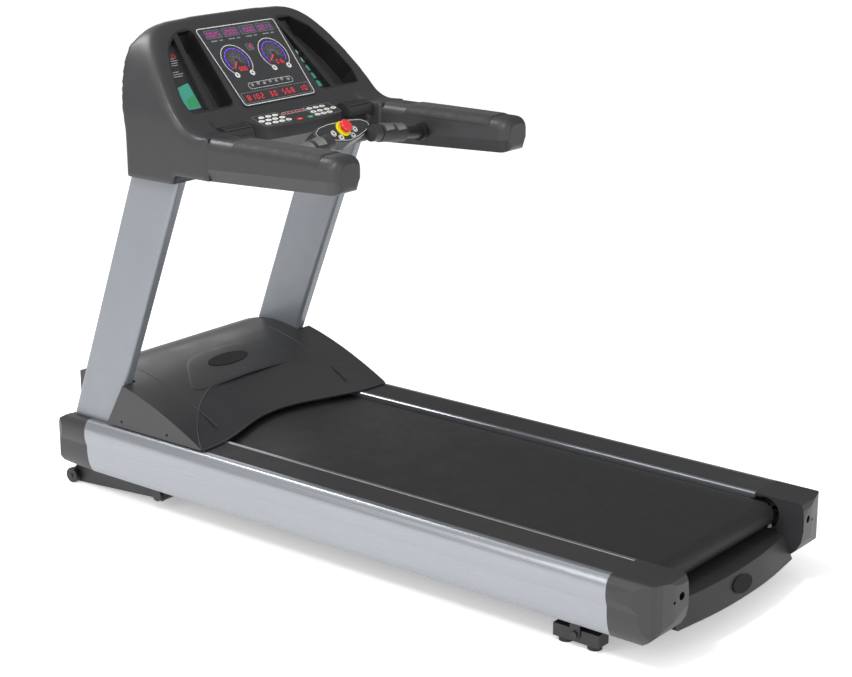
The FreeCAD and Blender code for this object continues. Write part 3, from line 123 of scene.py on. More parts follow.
@dataclass
class Recipe:
    """One material while it is being mixed: its tree, shader and pattern coordinates."""

    name: str
    colour: str
    metallic: float = 0.0
    ior: float = 1.5
    coordinates: str = "Object"
    tree: bpy.types.NodeTree = field(init=False)
    shader: bpy.types.Node = field(init=False)
    place: bpy.types.NodeSocket = field(init=False)

    def __post_init__(self) -> None:
        """Make the material with its shader, output and coordinates."""
        self.material = bpy.data.materials.new(self.name)
        self.material.use_nodes = True
        self.material.diffuse_color = linear(self.colour)
        self.tree = self.material.node_tree
        self.tree.nodes.clear()
        self.shader = add_node(self.tree, "ShaderNodeBsdfPrincipled",
                               {"Base Color": linear(self.colour), "Metallic": self.metallic,
                                "IOR": self.ior})
        add_node(self.tree, "ShaderNodeOutputMaterial", {"Surface": self.shader.outputs[0]})
        self.place = add_node(self.tree, "ShaderNodeTexCoord").outputs[self.coordinates]

    def add(self, kind: Kind, inputs: dict, **settings: object) -> bpy.types.NodeSocket:
        """Add one node and give its result; inputs and settings are as for add_node."""
        return add_node(self.tree, kind.value, inputs, **settings).outputs[0]

    def mask(self, patches: Patches, low: float = 0.0, high: float = 1.0) -> bpy.types.NodeSocket:
        """Where an effect shows, as a value over the surface.

        Args:
            patches: size and shape of the patches.
            low: the value between patches.
            high: the value inside them.

        Returns:
            The value: cloudy noise with its middle range stretched from low to high.
        """
        place = self.add(Kind.MAPPING, {"Vector": self.place, "Scale": patches.stretch})
        clouds = self.add(Kind.NOISE, {"Vector": place, "Scale": 1000.0 / patches.size_mm,
                                       "Detail": patches.detail})
        return self.add(Kind.RANGE, {"Value": clouds, "From Min": patches.start,
                                     "From Max": patches.end, "To Min": low, "To Max": high})

    def mottle(self, patches: Patches | bpy.types.NodeSocket, shade: float, amount: float) -> None:
        """Let another shade of the colour show in patches.

        Args:
            patches: where it shows, or a ready mask.
            shade: how much brighter or darker it is.
            amount: how fully it covers, 0 to 1; not used with a ready mask.
        """
        mask = self.mask(patches, 0.0, amount) if isinstance(patches, Patches) else patches
        base = self.shader.inputs["Base Color"]
        under = base.links[0].from_socket if base.is_linked else tuple(base.default_value)
        mixed = add_node(self.tree, "ShaderNodeMix", {0: mask, 6: under,
                                                      7: linear(brighter(self.colour, shade))},
                         data_type="RGBA")
        self.tree.links.new(mixed.outputs[2], base)

    def polish(self, patches: Patches, low: float, high: float) -> None:
        """Let the roughness drift from low to high over patches."""
        self.tree.links.new(self.mask(patches, low, high), self.shader.inputs["Roughness"])

    def emboss(self, height: Patches | bpy.types.NodeSocket, depth_mm: float) -> None:
        """Raise the surface by patches, or by a ready height, depth_mm from its 0 to its 1."""
        value = self.mask(height) if isinstance(height, Patches) else height
        raised = self.add(Kind.BUMP, {"Height": value, "Distance": depth_mm * MM})
        self.tree.links.new(raised, self.shader.inputs["Normal"])

    def skin(self, **values: float) -> None:
        """Set the shader's constant inputs; an underscore in a name stands for a space."""
        for name, value in values.items():
            self.shader.inputs[name.replace("_", " ")].default_value = value


# ------------------------------------------------------------------ finishes
@dataclass(frozen=True)
class MouldedPlastic:
    """ABS or polypropylene, injection moulded in a spark-eroded steel tool.

    The tool's pitted skin gives a fine grain that breaks up highlights, and handling polishes
    it in broad, faint patches.
    """

    name: str
    colour: str
    roughness: float = 0.42
    grain_mm: float = 1.1      # real spark grain is near 0.4 mm; drawn coarse enough to show
    depth_mm: float = 0.035
    polish: float = 0.10
    coat: float = 0.0

    def make(self) -> bpy.types.Material:
        """Mix the material: two shades, handled patches and the tool's grain.

        Returns:
            The material.
        """
        recipe = Recipe(self.name, self.colour, ior=1.52)
        recipe.mottle(Patches(85.0), 1.14, 0.35)
        recipe.mottle(Patches(6.0, 0.5, 0.8, 4.0), 0.86, 0.22)
        half = self.polish / 2
        recipe.polish(Patches(85.0, 0.3, 0.7), self.roughness - half, self.roughness + half)
        recipe.emboss(Patches(self.grain_mm, 0.0, 1.0, 2.0), self.depth_mm)
        recipe.skin(Coat_Weight=self.coat, Coat_Roughness=0.12)
        return recipe.material


@dataclass(frozen=True)
class SprayedSteel:
    """Steel sprayed with metallic or solid enamel and stoved.

    Aluminium flake in the paint sparkles very finely, and the film keeps a slight orange peel.
    """

    name: str
    colour: str
    metallic: float = 0.45
    roughness: float = 0.36
    peel_mm: float = 3.0
    depth_mm: float = 0.02
    coat: float = 0.25

    def make(self) -> bpy.types.Material:
        """Mix the material: flake, broad shade and orange peel.

        Returns:
            The material.
        """
        recipe = Recipe(self.name, self.colour, self.metallic)
        # flake is under 0.1 mm; drawn ten times coarser to show
        recipe.mottle(Patches(0.9, 0.5, 0.8, 1.0), 1.22, 0.30)
        recipe.mottle(Patches(160.0, 0.4, 0.8), 0.90, 0.18)
        recipe.polish(Patches(40.0, 0.3, 0.7), self.roughness - 0.05, self.roughness + 0.06)
        recipe.emboss(Patches(self.peel_mm, 0.0, 1.0, 1.0), self.depth_mm)
        recipe.skin(Coat_Weight=self.coat, Coat_Roughness=0.14)
        return recipe.material


@dataclass(frozen=True)
class ExtrudedAluminium:
    """Aluminium extrusion, satin anodised.

    Die lines run the length of the bar as hair-fine streaks, and the etched, anodised skin
    spreads reflections softly across them.
    """

    name: str
    colour: str
    roughness: float = 0.30
    line_mm: float = 1.6       # die lines are near 0.3 mm apart; drawn coarser to show
    along: tuple[float, float, float] = (1.0, 0.004, 1.0)
    anisotropy: float = 0.35

    def make(self) -> bpy.types.Material:
        """Mix the material: streaks along the bar in shade, polish and height.

        Returns:
            The material.
        """
        recipe = Recipe(self.name, self.colour, 0.9)
        streaks = Patches(self.line_mm, 0.3, 0.8, 2.0, self.along)
        recipe.mottle(streaks, 0.90, 0.14)
        recipe.mottle(Patches(200.0, 0.0, 1.0, 2.0), 1.1, 0.12)
        recipe.polish(streaks, self.roughness - 0.04, self.roughness + 0.07)
        recipe.emboss(streaks, 0.006)
        recipe.skin(Anisotropic=self.anisotropy)
        return recipe.material


@dataclass(frozen=True)
class BrightSteel:
    """Steel, ground or polished, then nickel or zinc plated; fine grinding marks cross it."""

    name: str
    colour: str = "C9CACC"
    roughness: float = 0.22

    def make(self) -> bpy.types.Material:
        """Mix the material: grinding marks in shade, polish and height.

        Returns:
            The material.
        """
        recipe = Recipe(self.name, self.colour, 1.0)
        marks = Patches(1.2, 0.4, 0.8, 3.0, (0.05, 1.0, 1.0))
        recipe.mottle(marks, 0.86, 0.2)
        recipe.polish(marks, self.roughness - 0.06, self.roughness + 0.12)
        recipe.emboss(marks, 0.01)
        return recipe.material


@dataclass(frozen=True)
class MouldedRubber:
    """Vulcanised rubber or soft vinyl, moulded: matt, faintly mottled, with a dusty bloom."""

    name: str
    colour: str
    roughness: float = 0.68
    grain_mm: float = 1.6
    depth_mm: float = 0.08

    def make(self) -> bpy.types.Material:
        """Mix the material: bloom, drifting polish and a pebbled grain.

        Returns:
            The material.
        """
        recipe = Recipe(self.name, self.colour, ior=1.52)
        recipe.mottle(Patches(30.0, 0.4, 0.8, 4.0), 1.35, 0.5)
        recipe.polish(Patches(18.0, 0.3, 0.7), self.roughness - 0.08, self.roughness + 0.08)
        recipe.emboss(Patches(self.grain_mm, 0.0, 1.0), self.depth_mm)
        recipe.skin(Sheen_Weight=0.08, Sheen_Roughness=0.5)
        return recipe.material


@dataclass(frozen=True)
class DiamondBelt:
    """Two-ply polyester belt with a PVC running face, embossed with small diamonds.

    Crossed ridges catch light as a fine lattice, with painted shade darkening the grooves between the
    diamonds, and feet polish it in broad, faint patches.
    It reads the belt's own UV map, in metres along and across.
    """

    name: str
    colour: str
    pitch_mm: float = 6.0      # real diamonds are near 3 mm; drawn twice as large to show

    def make(self) -> bpy.types.Material:
        """Mix the material: height = the lower of |sin| along the two diagonals.

        Returns:
            The material.
        """
        recipe = Recipe(self.name, self.colour, ior=1.5, coordinates="UV")
        split = add_node(recipe.tree, Kind.SPLIT.value, {0: recipe.place})
        along, across = split.outputs[0], split.outputs[1]
        turns = 1000.0 * math.pi / self.pitch_mm
        ridges = []
        for operation in ("ADD", "SUBTRACT"):
            value = recipe.add(Kind.MATH, {0: along, 1: across}, operation=operation)
            value = recipe.add(Kind.MATH, {0: value, 1: turns}, operation="MULTIPLY")
            value = recipe.add(Kind.MATH, {0: value}, operation="SINE")
            ridges.append(recipe.add(Kind.MATH, {0: value}, operation="ABSOLUTE"))
        lattice = recipe.add(Kind.MATH, {0: ridges[0], 1: ridges[1]}, operation="MINIMUM")
        # painted shade: the grooves between the diamonds, where the height is lowest, are darkened to 45% of
        # the colour
        recipe.mottle(recipe.add(Kind.RANGE, {"Value": lattice, "From Max": 0.5, "To Min": 0.7,
                                              "To Max": 0.0}), 0.45, 1.0)
        recipe.mottle(Patches(120.0, 0.4, 0.8, 4.0), 1.25, 0.3)
        recipe.polish(Patches(90.0, 0.3, 0.7), 0.46, 0.56)
        recipe.emboss(lattice, 0.45)
        return recipe.material


@dataclass(frozen=True)
class PrintedFilm:
    """Polyester overlay, screen printed from behind, or ink on a moulding.

    The film is flat and slightly glossy with a faint screen mottle in the ink.
    """

    name: str
    colour: str
    roughness: float = 0.33
    glow: float = 0.0

    def make(self) -> bpy.types.Material:
        """Mix the material; glow is the light it gives off where a lamp is behind it.

        Returns:
            The material.
        """
        recipe = Recipe(self.name, self.colour, ior=1.57)
        recipe.mottle(Patches(2.2, 0.4, 0.8), 0.86, 0.25)
        recipe.polish(Patches(25.0, 0.3, 0.7, 2.0), self.roughness - 0.05, self.roughness + 0.06)
        recipe.emboss(Patches(2.2, 0.0, 1.0), 0.01)
        recipe.skin(Emission_Strength=self.glow)
        recipe.shader.inputs["Emission Color"].default_value = linear(self.colour)
        return recipe.material


@dataclass(frozen=True)
class FacedBoard:
    """Beech plywood board with a waxed phenolic face: a black face, long grain under a dull wax."""

    name: str
    colour: str = "1E1A18"

    def make(self) -> bpy.types.Material:
        """Mix the material: long grain in shade, polish and height.

        Returns:
            The material.
        """
        recipe = Recipe(self.name, self.colour)
        grain = Patches(9.0, 0.35, 0.75, 5.0, (1.0, 0.05, 1.0))
        recipe.mottle(grain, 0.62, 0.7)
        recipe.polish(grain, 0.45, 0.62)
        recipe.emboss(grain, 0.05)
        return recipe.material


class Finish(Enum):
    """Every finish on the treadmill, by the maker's name for it."""

    HOUSING = MouldedPlastic("abs_spark_grained_dark_grey", "2B2B2D", 0.40)
    CAP = MouldedPlastic("abs_spark_grained_cap_grey", "29292B", 0.42)
    COVER = MouldedPlastic("abs_spark_grained_hood_grey", "29292B", 0.36, coat=0.05)
    # painted shade: the pocket liners are the housing's grey plastic, coloured darker to stand for the shade
    # deep in the pockets
    LINER = MouldedPlastic("abs_liner_dark_painted_shade", "19191A", 0.36, depth_mm=0.02)
    BLACK = MouldedPlastic("polypropylene_matt_black", "0F0F10", 0.5)
    STEP = MouldedPlastic("polypropylene_ribbed_tread", "1D1D1F", 0.55)
    SILVER = SprayedSteel("steel_sprayed_silver_metallic", "7F8389", 0.35)
    POWDER = SprayedSteel("steel_black_powder_coat", "242425", 0.0, 0.48, 1.4, 0.05, 0.0)
    MOTOR = SprayedSteel("steel_black_enamel", "1F1F21", 0.0, 0.3)
    RAIL = ExtrudedAluminium("aluminium_extruded_satin_anodised", "9A9DA2")
    SINK = ExtrudedAluminium("aluminium_extruded_mill", "B9BCBF", 0.34)
    BRIGHT = BrightSteel("steel_ground_zinc_plated")
    SENSOR = BrightSteel("stainless_steel_brushed", "B7B7B6", 0.3)
    GLOSS = MouldedPlastic("acrylic_gloss_black", "0B0B0C", 0.12, 2.0, 0.004, 0.04)
    PANEL = PrintedFilm("polyester_film_smoked", "2B2C2F", 0.30)
    BELT = DiamondBelt("pvc_belt_diamond_embossed", "161617")
    RUBBER = MouldedRubber("rubber_moulded_black", "111112")
    PAD = MouldedRubber("vinyl_foam_soft_grained", "1C1C1E", 0.62, 2.4, 0.16)
    GRIP = MouldedRubber("vinyl_grip_ribbed", "1E1E20", 0.55, 1.6, 0.06)
    BOARD = FacedBoard("plywood_phenolic_faced")
    WHITE_KEY = MouldedPlastic("silicone_key_white", "DADAD6", 0.45, 0.8, 0.01)
    YELLOW = MouldedPlastic("abs_gloss_yellow", "E9E321", 0.22, 1.6, 0.005, 0.05, 0.3)
    RED = MouldedPlastic("abs_gloss_red", "D3292F", 0.26, 1.6, 0.005, 0.05, 0.3)
    WHITE_INK = PrintedFilm("ink_screened_white", "D9D9D7", 0.4)
    DARK_INK = PrintedFilm("ink_screened_black", "1A1A1B", 0.4)
    OXIDE = BrightSteel("steel_black_oxide", "2A2A2C", 0.35)
    GREY_INK = PrintedFilm("ink_screened_grey", "8A8B8D", 0.4)
    TEAL_INK = PrintedFilm("ink_screened_teal", "379380", 0.34)
    GREEN_INK = PrintedFilm("ink_screened_green", "2E8B57", 0.4)
    RED_INK = PrintedFilm("ink_screened_red", "C3262C", 0.4)
    WINDOW = PrintedFilm("acrylic_window_slate", "3B4358", 0.2)
    DIAL = PrintedFilm("acrylic_window_dial", "2C2B30", 0.2)
    RED_LAMP = PrintedFilm("led_lit_red", "E41B28", 0.4, 1.1)
    PINK_LAMP = PrintedFilm("led_lit_magenta", "B81C74", 0.4, 0.75)
    BLUE_LAMP = PrintedFilm("led_lit_blue", "2F3AD8", 0.4, 1.0)

    def material(self) -> bpy.types.Material:
        """The mixed material, made once."""
        return bpy.data.materials.get(self.value.name) or self.value.make()


# ------------------------------------------------------------------ surfaces
@dataclass
class Grid:
    """A surface as rows and columns of points, in metres.

    Attributes:
        points: array of rows, columns and three coordinates.
        ring: True where the last column joins the first.
        loop: True where the last row joins the first.
        finish: what covers it.
        uv: optional array of rows, columns and two pattern coordinates.
    """

    points: np.ndarray
    ring: bool = False
    loop: bool = False
    finish: Finish = Finish.BLACK
    uv: np.ndarray | None = None

    def quads(self) -> np.ndarray:
        """Four corner numbers for each face, from the grid's own numbering.

        Returns:
            Four numbers for each face.
        """
        rows, columns = self.points.shape[:2]
        row = np.arange(rows if self.loop else rows - 1)[:, None]
        column = np.arange(columns if self.ring else columns - 1)[None, :]
        after_row, after_column = (row + 1) % rows, (column + 1) % columns
        corners = (row * columns + column, row * columns + after_column,
                   after_row * columns + after_column, after_row * columns + column)
        return np.stack([np.broadcast_to(c, (row.size, column.size)) for c in corners],
                        axis=-1).reshape(-1, 4)


def build(name: str, grids: list[Grid], body: str, sharp_degrees: float = 35.0,
          weld: bool = True) -> bpy.types.Object:
    """Join grids into one piece.

    Args:
        name: the piece's name.
        grids: its surfaces.
        body: the CAD body it rides on.
        sharp_degrees: faces that meet at more than this keep a crisp edge.
        weld: merge touching points and turn the faces outwards, for closed pieces.

    Returns:
        The new object, riding on its body.
    """
    finishes = list(dict.fromkeys(grid.finish for grid in grids))
    offsets = np.cumsum([0] + [grid.points.shape[0] * grid.points.shape[1] for grid in grids])
    faces = [grid.quads() + start for grid, start in zip(grids, offsets)]
    slots = np.repeat([finishes.index(grid.finish) for grid in grids], [len(f) for f in faces])
    points = np.concatenate([grid.points.reshape(-1, 3) for grid in grids])
    corners = np.concatenate(faces)
    mesh = bpy.data.meshes.new(name)
    mesh.vertices.add(len(points))
    mesh.vertices.foreach_set("co", points.astype(np.float32).ravel())
    mesh.loops.add(corners.size)
    mesh.loops.foreach_set("vertex_index", corners.astype(np.int32).ravel())
    mesh.polygons.add(len(corners))
    mesh.polygons.foreach_set("loop_start", np.arange(0, corners.size, 4, dtype=np.int32))
    mesh.polygons.foreach_set("material_index", slots.astype(np.int32))
    mesh.update(calc_edges=True)
    if all(grid.uv is not None for grid in grids):
        uv = np.concatenate([grid.uv.reshape(-1, 2) for grid in grids])[corners.ravel()]
        mesh.uv_layers.new(name="along").data.foreach_set("uv", uv.astype(np.float32).ravel())
    for finish in finishes:
        mesh.materials.append(finish.material())
    if weld:
        tidy_faces(mesh)
    mesh.shade_smooth()
    mesh.set_sharp_from_angle(angle=math.radians(sharp_degrees))
    piece = bpy.data.objects.new(name, mesh)
    bpy.context.scene.collection.objects.link(piece)
    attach(piece, body)
    LOG.info("%s: %d faces on %s", name, len(mesh.polygons), body)
    return piece


def tidy_faces(mesh: bpy.types.Mesh) -> None:
    """Merge points that touch, drop faces with no area and turn the faces outwards.

    Args:
        mesh: the mesh, changed in place.
    """
    work = bmesh.new()
    work.from_mesh(mesh)
    bmesh.ops.remove_doubles(work, verts=work.verts, dist=2e-6)
    bmesh.ops.dissolve_degenerate(work, edges=work.edges, dist=1e-7)
    bmesh.ops.recalc_face_normals(work, faces=work.faces)
    work.to_mesh(mesh)
    work.free()


@dataclass(frozen=True)
class Plane:
    """A flat face to lay pieces on: millimetres across, up and out of it."""

    origin: tuple[float, float, float]
    up: tuple[float, float, float]
    out: tuple[float, float, float]

    def place(self, local: np.ndarray) -> np.ndarray:
        """Points (across, up, out) in millimetres to points in metres."""
        axes = np.stack([ACROSS, np.array(self.up), np.array(self.out)])
        return np.array(self.origin) + local @ axes * MM


def ellipse(x: float, y: float, width: float, height: float, points: int = 32) -> np.ndarray:
    """Outline of an ellipse: centre plus half sizes times cosine and sine."""
    turn = np.linspace(0.0, 2.0 * math.pi, points, endpoint=False)
    return np.stack([x + width / 2 * np.cos(turn), y + height / 2 * np.sin(turn)], axis=-1)


def round_corners(corners: np.ndarray, radius: float, steps: int = 5) -> np.ndarray:
    """Outline of a polygon with rounded corners.

    Each corner becomes a quadratic arc between the points one radius down its two sides.

    Args:
        corners: polygon corners, across and up.
        radius: how far from the corner each arc starts.
        steps: points on each arc.

    Returns:
        The outline's points.
    """
    before = np.roll(corners, 1, axis=0) - corners
    after = np.roll(corners, -1, axis=0) - corners
    lengths = np.minimum(np.linalg.norm(before, axis=1), np.linalg.norm(after, axis=1))
    reach = np.minimum(radius, lengths * 0.49)[:, None]
    start = corners + before / np.linalg.norm(before, axis=1)[:, None] * reach
    end = corners + after / np.linalg.norm(after, axis=1)[:, None] * reach
    t = np.linspace(0.0, 1.0, steps)[None, :, None]
    arc = ((1 - t) ** 2 * start[:, None] + 2 * t * (1 - t) * corners[:, None] + t ** 2 * end[:, None])
    return arc.reshape(-1, 2)


def plate(plane: Plane, outline: np.ndarray, bottom: float, top: float, finish: Finish,
          edge: float = 0.0) -> Grid:
    """Closed flat plate over an outline.

    Rings run from the middle of the underside out to its edge, up to the top face (drawn in by
    the edge width) and back to the middle, each ring the outline scaled about its middle.

    Args:
        plane: the face it lies on.
        outline: points across and up, all seen from the middle.
        bottom: height of the underside.
        top: height of the top face.
        finish: what covers it.
        edge: chamfer round the top.

    Returns:
        The closed surface.
    """
    middle = outline.mean(axis=0)
    size = np.linalg.norm(outline - middle, axis=1).mean()
    scales = np.array([0.0, 1.0, 1.0, 1.0 - edge / size, 0.0])
    heights = np.array([bottom, bottom, top - edge, top, top])
    flat = middle + (outline - middle)[None] * scales[:, None, None]
    tall = np.broadcast_to(heights[:, None, None], flat.shape[:2] + (1,))
    return Grid(plane.place(np.concatenate([flat, tall], axis=-1)), ring=True, finish=finish)


def line(plane: Plane, path: np.ndarray, width: float, bottom: float, top: float,
         finish: Finish, closed: bool = True) -> Grid:
    """Raised line: a small rectangle carried along a path, square to it.

    Args:
        plane: the face it lies on.
        path: points across and up.
        width: width of the line.
        bottom: height of its underside.
        top: height of its face.
        finish: what covers it.
        closed: True for an outline, False for a line with two ends.

    Returns:
        The closed surface.
    """
    if closed:
        heading = np.roll(path, -1, axis=0) - np.roll(path, 1, axis=0)
    else:
        heading = np.gradient(path, axis=0)
    heading = heading / np.maximum(np.linalg.norm(heading, axis=1), 1e-9)[:, None]
    side = np.stack([-heading[:, 1], heading[:, 0]], axis=-1) * width / 2
    profile = ((-1, bottom), (1, bottom), (1, top), (-1, top))
    ring = np.stack([np.concatenate([path + side * way, np.full((len(path), 1), high)], axis=-1)
                     for way, high in profile], axis=1)
    if not closed:
        ring = np.concatenate([ring[:1].mean(axis=1, keepdims=True).repeat(4, 1), ring,
                               ring[-1:].mean(axis=1, keepdims=True).repeat(4, 1)])
    return Grid(plane.place(ring), ring=True, loop=closed, finish=finish)


def arc(x: float, y: float, radius: float, start: float, end: float, points: int = 40) -> np.ndarray:
    """Points on a circle between two angles in degrees."""
    turn = np.radians(np.linspace(start, end, points))
    return np.stack([x + radius * np.cos(turn), y + radius * np.sin(turn)], axis=-1)


# The seven bars of a digit as (x, y, width, height) in a 1 by 2 cell.
BAR_SHAPES = {"a": (0.5, 2.0, 0.7, 0.2), "b": (1.0, 1.5, 0.2, 0.75), "c": (1.0, 0.5, 0.2, 0.75),
              "d": (0.5, 0.0, 0.7, 0.2), "e": (0.0, 0.5, 0.2, 0.75), "f": (0.0, 1.5, 0.2, 0.75),
              "g": (0.5, 1.0, 0.7, 0.2)}
DIGIT_BARS = {"0": "abcdef", "1": "bc", "2": "abged", "3": "abgcd", "4": "fgbc", "5": "afgcd",
              "6": "afgedc", "7": "abc", "8": "abcdefg", "9": "abcdfg"}


def digits(plane: Plane, text: str, x: float, y: float, size: float, bottom: float, top: float,
           finish: Finish) -> list[Grid]:
    """Seven-bar numerals in a row.

    Args:
        plane: the face they lie on.
        text: numerals only.
        x: middle of the row.
        y: foot of the row.
        size: width of one numeral; it is twice as tall.
        bottom: height of the underside.
        top: height of the face.
        finish: what covers them.

    Returns:
        One plate for each lit bar.
    """
    grids = []
    for place, numeral in enumerate(text):
        left = x + (place - len(text) / 2 + 0.18) * size * 1.55
        for bar in DIGIT_BARS[numeral]:
            bx, by, width, height = BAR_SHAPES[bar]
            corners = np.array([(-0.5, 0), (-0.35, 0.5), (0.35, 0.5), (0.5, 0), (0.35, -0.5),
                                (-0.35, -0.5)]) if width > height else \
                np.array([(0, -0.5), (-0.5, -0.35), (-0.5, 0.35), (0, 0.5), (0.5, 0.35), (0.5, -0.35)])
            outline = (corners * (width, height) + (bx, by * 0.9)) * size + (left, y)
            grids.append(plate(plane, outline, bottom, top, finish))
    return grids


# ------------------------------------------------------------------ solids from outlines
def smooth_path(points: np.ndarray, steps: int = 8) -> np.ndarray:
    """Smooth open line through points.

    Catmull-Rom: between two points, the cubic whose slopes are half the step from the point
    before to the point after.

    Args:
        points: what it passes through.
        steps: divisions between two points.

    Returns:
        The line's points.
    """
    padded = np.concatenate([2 * points[:1] - points[1:2], points, 2 * points[-1:] - points[-2:-1]])
    a, b, c, d = padded[:-3, None], padded[1:-2, None], padded[2:-1, None], padded[3:, None]
    t = np.linspace(0.0, 1.0, steps, endpoint=False)[None, :, None]
    run = 0.5 * (2 * b + (c - a) * t + (2 * a - 5 * b + 4 * c - d) * t ** 2
                 + (3 * b - a - 3 * c + d) * t ** 3)
    return np.concatenate([run.reshape(-1, points.shape[1]), points[-1:]])


def prism(name: str, outline: np.ndarray, sweep: np.ndarray) -> bpy.types.Object:
    """Closed block: an outline of points in millimetres swept along a vector, with flat ends.

    Args:
        name: the block's name.
        outline: its points in order.
        sweep: the vector in millimetres.

    Returns:
        The block, for cutting and joining.
    """
    count = len(outline)
    points = np.concatenate([outline, outline + sweep]) * MM
    index = np.arange(count)
    after = (index + 1) % count
    sides = np.stack([index, after, after + count, index + count], axis=-1).tolist()
    mesh = bpy.data.meshes.new(name)
    mesh.from_pydata(points.tolist(), [], [index[::-1].tolist(), (index + count).tolist(), *sides])
    tidy_faces(mesh)
    block = bpy.data.objects.new(name, mesh)
    bpy.context.scene.collection.objects.link(block)
    return block


def freeze(piece: bpy.types.Object) -> None:
    """Make a piece's modifiers part of its mesh.

    Args:
        piece: the object whose modifiers are used up.
    """
    graph = bpy.context.evaluated_depsgraph_get()
    mesh = bpy.data.meshes.new_from_object(piece.evaluated_get(graph))
    piece.modifiers.clear()
    piece.data = mesh


def combine(target: bpy.types.Object, tool: bpy.types.Object, operation: str) -> None:
    """Cut, join or intersect a block with another, which is then gone.

    Args:
        target: the block that stays.
        tool: the block that is used up.
        operation: DIFFERENCE, UNION or INTERSECT.
    """
    modifier = target.modifiers.new("combine", "BOOLEAN")
    modifier.operation, modifier.object, modifier.solver = operation, tool, "EXACT"
    freeze(target)
    bpy.data.objects.remove(tool)


def round_edges(piece: bpy.types.Object, widths_mm: np.ndarray, segments: int) -> None:
    """Round chosen edges with a bevel.

    Args:
        piece: the block.
        widths_mm: one width for each edge, 0 to leave it sharp.
        segments: facets across each rounding.
    """
    widest = float(widths_mm.max())
    weights = piece.data.attributes.new("bevel_weight_edge", "FLOAT", "EDGE")
    weights.data.foreach_set("value", (widths_mm / widest).astype(np.float32))
    modifier = piece.modifiers.new("round", "BEVEL")
    modifier.limit_method, modifier.width, modifier.segments = "WEIGHT", widest * MM, segments
    modifier.use_clamp_overlap = True
    modifier.miter_outer = "MITER_ARC"
    freeze(piece)


def edge_facts(mesh: bpy.types.Mesh) -> tuple[np.ndarray, np.ndarray]:
    """Middle of each edge in millimetres, and the angle in degrees between its two faces.

    Args:
        mesh: the mesh to read.

    Returns:
        The middles and the angles, one for each edge.
    """
    work = bmesh.new()
    work.from_mesh(mesh)
    work.edges.ensure_lookup_table()
    middles = np.array([(edge.verts[0].co + edge.verts[1].co) / 2 for edge in work.edges]) / MM
    angles = np.degrees([edge.calc_face_angle(0.0) for edge in work.edges])
    work.free()
    return middles, angles


